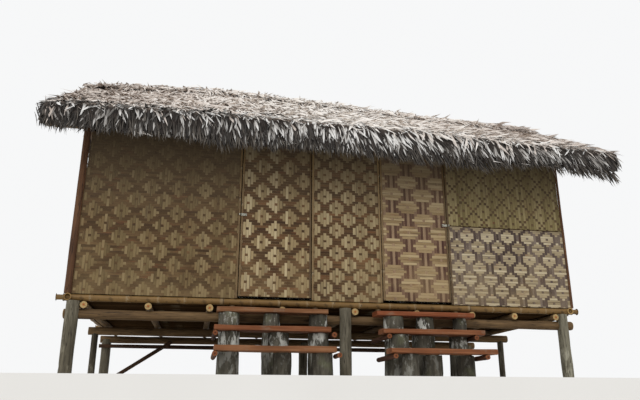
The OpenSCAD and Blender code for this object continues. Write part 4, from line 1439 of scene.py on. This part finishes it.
for side in ("left", "right"):
    timber(f"{side}_stumps", f"{side}_step_logs", "log_bark", BARK, stump_model, f"{side} stumps",
           UPWARD, 0.965, swell=0.012, furrow=0.008, fineness=22, crack=0.012)

# %% [markdown]
# ## Sawn timber
# The right front post is squared, and the treads are planks of a red-brown hardwood. A sawn
# piece starts from the same log, whose ring is pushed out to a square with slightly round
# corners. Its copies take the box of each solid.

# %% Squared models
SHARPNESS = 9
SAWN_SHARE = 0.99


def squared(model):
    """Pushes the round section of a log out to a square."""
    for vertex in model.data.vertices:
        x, z = vertex.co.x, vertex.co.z
        round_radius = math.hypot(x, z)
        square_radius = (abs(x) ** SHARPNESS + abs(z) ** SHARPNESS) ** (1 / SHARPNESS)
        if square_radius > 0:
            vertex.co.x = x * round_radius / square_radius
            vertex.co.z = z * round_radius / square_radius
    return model


def fitted(low, high, lie, face):
    """Start, turn and size (across, along, thick) of a copy that fills a box along lie."""
    low, high, turn = Vector(low), Vector(high), stance(lie, face)
    across, along, thick = (abs(c) for c in turn.to_3x3().transposed() @ (high - low))
    start = (low + high) / 2 - turn.to_3x3() @ Vector((0, along / 2, 0))
    return start, turn, (across, along, thick)


def box_copy(points, lie, face, tone):
    """A copy that fills the box of a solid, with its length along lie."""
    start, turn, (across, along, thick) = fitted(points.min(0), points.max(0), lie, face)
    size = Matrix.Diagonal((across * SAWN_SHARE, along, thick * SAWN_SHARE, 1))
    return 0, Matrix.Translation(start) @ turn @ size, tone


square_model = squared(log_model("squared post", 32, 26, 0.008))
plank_model = squared(log_model("plank", 36, 40, 0.004))

X_WAY, Y_WAY, Z_WAY = (1, 0, 0), (0, 1, 0), (0, 0, 1)
FRONT, BACK = (0, -1, 0), (0, 1, 0)


def sawn(name, node, slot, finish, model, copies, **weathering):
    piece = laid_out(name, (model,), copies)
    weathered(piece, **weathering)
    smoothed(piece, ROUND_ANGLE)
    finished(piece, name, "house", slot, finish, replaces=(node,))


post_copy = box_copy(solids_of("front_square_post")[0], Z_WAY, FRONT, 0.3)
sawn("square_post_timber", "front_square_post", "post_wood", PALE_WOOD, square_model, [post_copy],
     swell=0.006, furrow=0.003, crack=0.008)

# %% Treads
plank = Finish("red plank", roughness=0.65, gloss=0.12)
plank_grain = plank.grain((55, 2.2, 90), detail=5, roughness=0.65)
plank_wear = plank.grain((6, 2.5, 6), detail=5)
plank_spread = (plank_grain * 0.8 + plank_wear * 0.6 - 0.2).held()
red = plank.ramp(plank_spread, (0.1, tint(76, 38, 20)), (0.5, tint(128, 68, 41)),
                 (0.9, tint(172, 112, 78)))
tan = plank.ramp(plank_spread, (0.1, tint(70, 46, 28)), (0.5, tint(120, 87, 57)),
                 (0.9, tint(162, 130, 94)))
plank_colour = plank.blend(plank.attribute("tone"), tan, red)
mud = plank.grain((9, 5, 9), detail=6, roughness=0.75).above(0.56, 0.66)
plank_colour = plank.blend(mud * 0.5, plank_colour, tint(130, 112, 94))
RED_PLANK = plank.done(plank_colour, mud * 0.3 + 0.5, plank_grain, 0.0018)

for side in ("left", "right"):
    chance, node = random.Random(f"{side} treads"), f"{side}_step_treads"
    copies = [box_copy(solid, X_WAY, Z_WAY, chance.random()) for solid in solids_of(node)]
    sawn(f"{side}_tread_planks", node, "step_plank", RED_PLANK, plank_model, copies,
         swell=0.005, furrow=0.0015, crack=0.002)

# %% [markdown]
# ## Split cane
# Slats of split cane lie across the joists as a floor, and strips of it cover the edges of the
# mats beside the doors and frame the doors from behind. A split cane is round on one side and
# flat on the other. The model is a bamboo length whose lower half is pressed flat.

# %% Split cane
SPLIT_PROFILE = ((0.0, 0.47), (0.02, 0.5), (0.05, 0.47), (0.5, 0.455), (1.0, 0.47))
split_length = capped("split cane", 10, SPLIT_PROFILE)
for vertex in split_length.data.vertices:
    vertex.co.z = max(vertex.co.z * 2, 0) - 0.5
SPLIT_CANE = bamboo_finish("split cane", tint(64, 47, 30), tint(102, 81, 53), tint(138, 114, 78))
# Painted shade: this cane is near black and without gloss, standing for the shade under the floor; the
# strip at the seam of the tiers uses it too.
SHADE_DARK_CANE = bamboo_finish("floor cane", tint(34, 23, 14), tint(60, 43, 27), tint(92, 70, 46), gloss=0.0)


def split_copies(box, chance, mean_length):
    """Lengths of split cane that fill a box, with the round side towards its face."""
    start, turn, (width, span, thick) = fitted(*box)
    count, tone = max(1, round(span / (mean_length * chance.uniform(0.85, 1.15)))), chance.random()
    size = Matrix.Diagonal((width, span / count, thick, 1))
    places = [start + turn.to_3x3() @ Vector((0, span * k / count, 0)) for k in range(count)]
    return [(0, Matrix.Translation(place) @ turn @ size, tone) for place in places]


def laid_split(name, body, boxes, nodes, seed, mean_length=0.36, finish=SPLIT_CANE):
    chance = random.Random(seed)
    copies = [copy for box in boxes for copy in split_copies(box, chance, mean_length)]
    piece = laid_out(name, (split_length,), copies)
    closed(piece)
    finished(piece, name, body, "split_bamboo", finish, replaces=nodes)


def batten_boxes(points, face):
    """The stiles and rails of a door frame, read from the corners of its solid."""
    xs, zs = sorted(set(points[:, 0].round(4))), sorted(set(points[:, 2].round(4)))
    front, back = points[:, 1].min(), points[:, 1].max()
    stiles = [((xs[k], front, zs[0]), (xs[k + 1], back, zs[-1]), Z_WAY, face)
              for k in (0, len(xs) - 2)]
    rails = [((xs[1], front, zs[k]), (xs[-2], back, zs[k + 1]), X_WAY, face)
             for k in range(0, len(zs), 2)]
    return stiles + rails


for side in ("left", "right"):
    node, boxes = f"{side}_door_frame", []
    for solid in solids_of(node):
        if len(solid) > 8:
            boxes += batten_boxes(solid, BACK)
        else:
            boxes.append((solid.min(0), solid.max(0), Z_WAY, FRONT))
    laid_split(f"{side}_door_battens", f"{side}_door", boxes, (node,), seed=f"{side} battens")

boxes = [(solid.min(0), solid.max(0), Z_WAY, FRONT) for solid in solids_of("jamb_strips")]
laid_split("jamb_canes", "house", boxes, ("jamb_strips",), seed=71)

# %% Floor slats in painted shade, and a painted shadow at the seam between the two tiers
SLATS = 58
SLAT_COVER = 0.88
SEAM_OUT, SEAM_IN, SEAM_BELOW, SEAM_ABOVE = 0.006, 0.003, 0.003, 0.007

deck_low, deck_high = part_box("floor_deck")
slat = (deck_high.y - deck_low.y) / SLATS
boxes = []
for k in range(SLATS):
    low_y, high_y = deck_low.y + slat * k, deck_low.y + slat * (k + SLAT_COVER)
    boxes.append(((deck_low.x, low_y, deck_low.z), (deck_high.x, high_y, deck_high.z), X_WAY, Z_WAY))
laid_split("floor_slats", "house", boxes, ("floor_deck",), 72, mean_length=1.0, finish=SHADE_DARK_CANE)

# A painted shadow: a thin strip of the dark cane along the seam where the upper tier of the right end
# meets the lower one, standing for the shadow of the upper mat's edge.
tier_low, tier_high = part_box("front_wall_right_lower")
seam_low = (tier_low.x, tier_low.y - SEAM_OUT, tier_high.z - SEAM_BELOW)
seam_high = (tier_high.x, tier_low.y + SEAM_IN, tier_high.z + SEAM_ABOVE)
seam = [(seam_low, seam_high, X_WAY, FRONT)]
laid_split("tier_seam", "house", seam, (), 73, mean_length=0.5, finish=SHADE_DARK_CANE)

# %% Strips along the foot of the walls, inside
INSET, STRIP_DEPTH, HALF_STRIP = 0.0125, 0.01, 0.016
foot, crown = WALL_FOOT - HALF_STRIP, WALL_FOOT + HALF_STRIP
far_x, far_y = HOUSE_WIDTH - INSET, HOUSE_DEPTH - INSET
boxes = [(at(INSET, far_y - STRIP_DEPTH, foot), at(far_x, far_y, crown), X_WAY, FRONT),
         (at(INSET, INSET, foot), at(INSET + STRIP_DEPTH, far_y, crown), Y_WAY, X_WAY),
         (at(far_x - STRIP_DEPTH, INSET, foot), at(far_x, far_y, crown), Y_WAY, (-1, 0, 0))]
laid_split("foot_strips", "house", boxes, (), 74, mean_length=0.6)

# %% [markdown]
# ## Iron and what is left of the solids
# The hasps, staples and strap hinges are plain forged iron whose solids already have the right
# shape, so they keep it and only take a finish: dull grey, rubbed bright on the high places and
# rusting in spots. The poles over the doors are round and plain as well.

# %% Iron finish
iron = Finish("dull iron", roughness=0.55, metallic=0.3)
scale = iron.noise(60, detail=5, roughness=0.7)
iron_colour = iron.blend(scale.above(0.4, 0.6), tint(116, 115, 103), tint(182, 181, 167))
rust = iron.noise(45, detail=6, roughness=0.75).above(0.56, 0.64)
iron_colour = iron.blend(rust * 0.6, iron_colour, tint(110, 66, 42))
DULL_IRON = iron.done(iron_colour, rust * 0.4 + 0.4, scale, 0.0006)

plain = Finish("plain pole", roughness=0.7)
plain_grain = plain.noise((4, 60, 60), detail=5, roughness=0.7)
plain_colour = plain.ramp(plain_grain, (0.3, tint(44, 31, 22)), (0.7, tint(100, 76, 56)))
PLAIN_POLE = plain.done(plain_colour, 0.7, plain_grain, 0.002)
for node in ("left_door_fittings", "right_door_fittings", "hinge_pintles", "door_staples"):
    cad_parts[node].material_slots[0].material = DULL_IRON
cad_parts["door_heads"].material_slots[0].material = PLAIN_POLE
drop_models(post_model, beam_model, stump_model, square_model, plank_model, split_length)

# %% [markdown]
# ## Closing
# The models that were copied are no pieces of the house, so they go. The box of the dressed
# house is printed, as that of the solids was.

# %% Sizes and the table of pieces
drop_models(bamboo_length, thin_length, bamboo_end, thin_end)
visual_box = [list(corner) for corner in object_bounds()]
print("dressed box:", [[round(c, 3) for c in corner] for corner in visual_box])
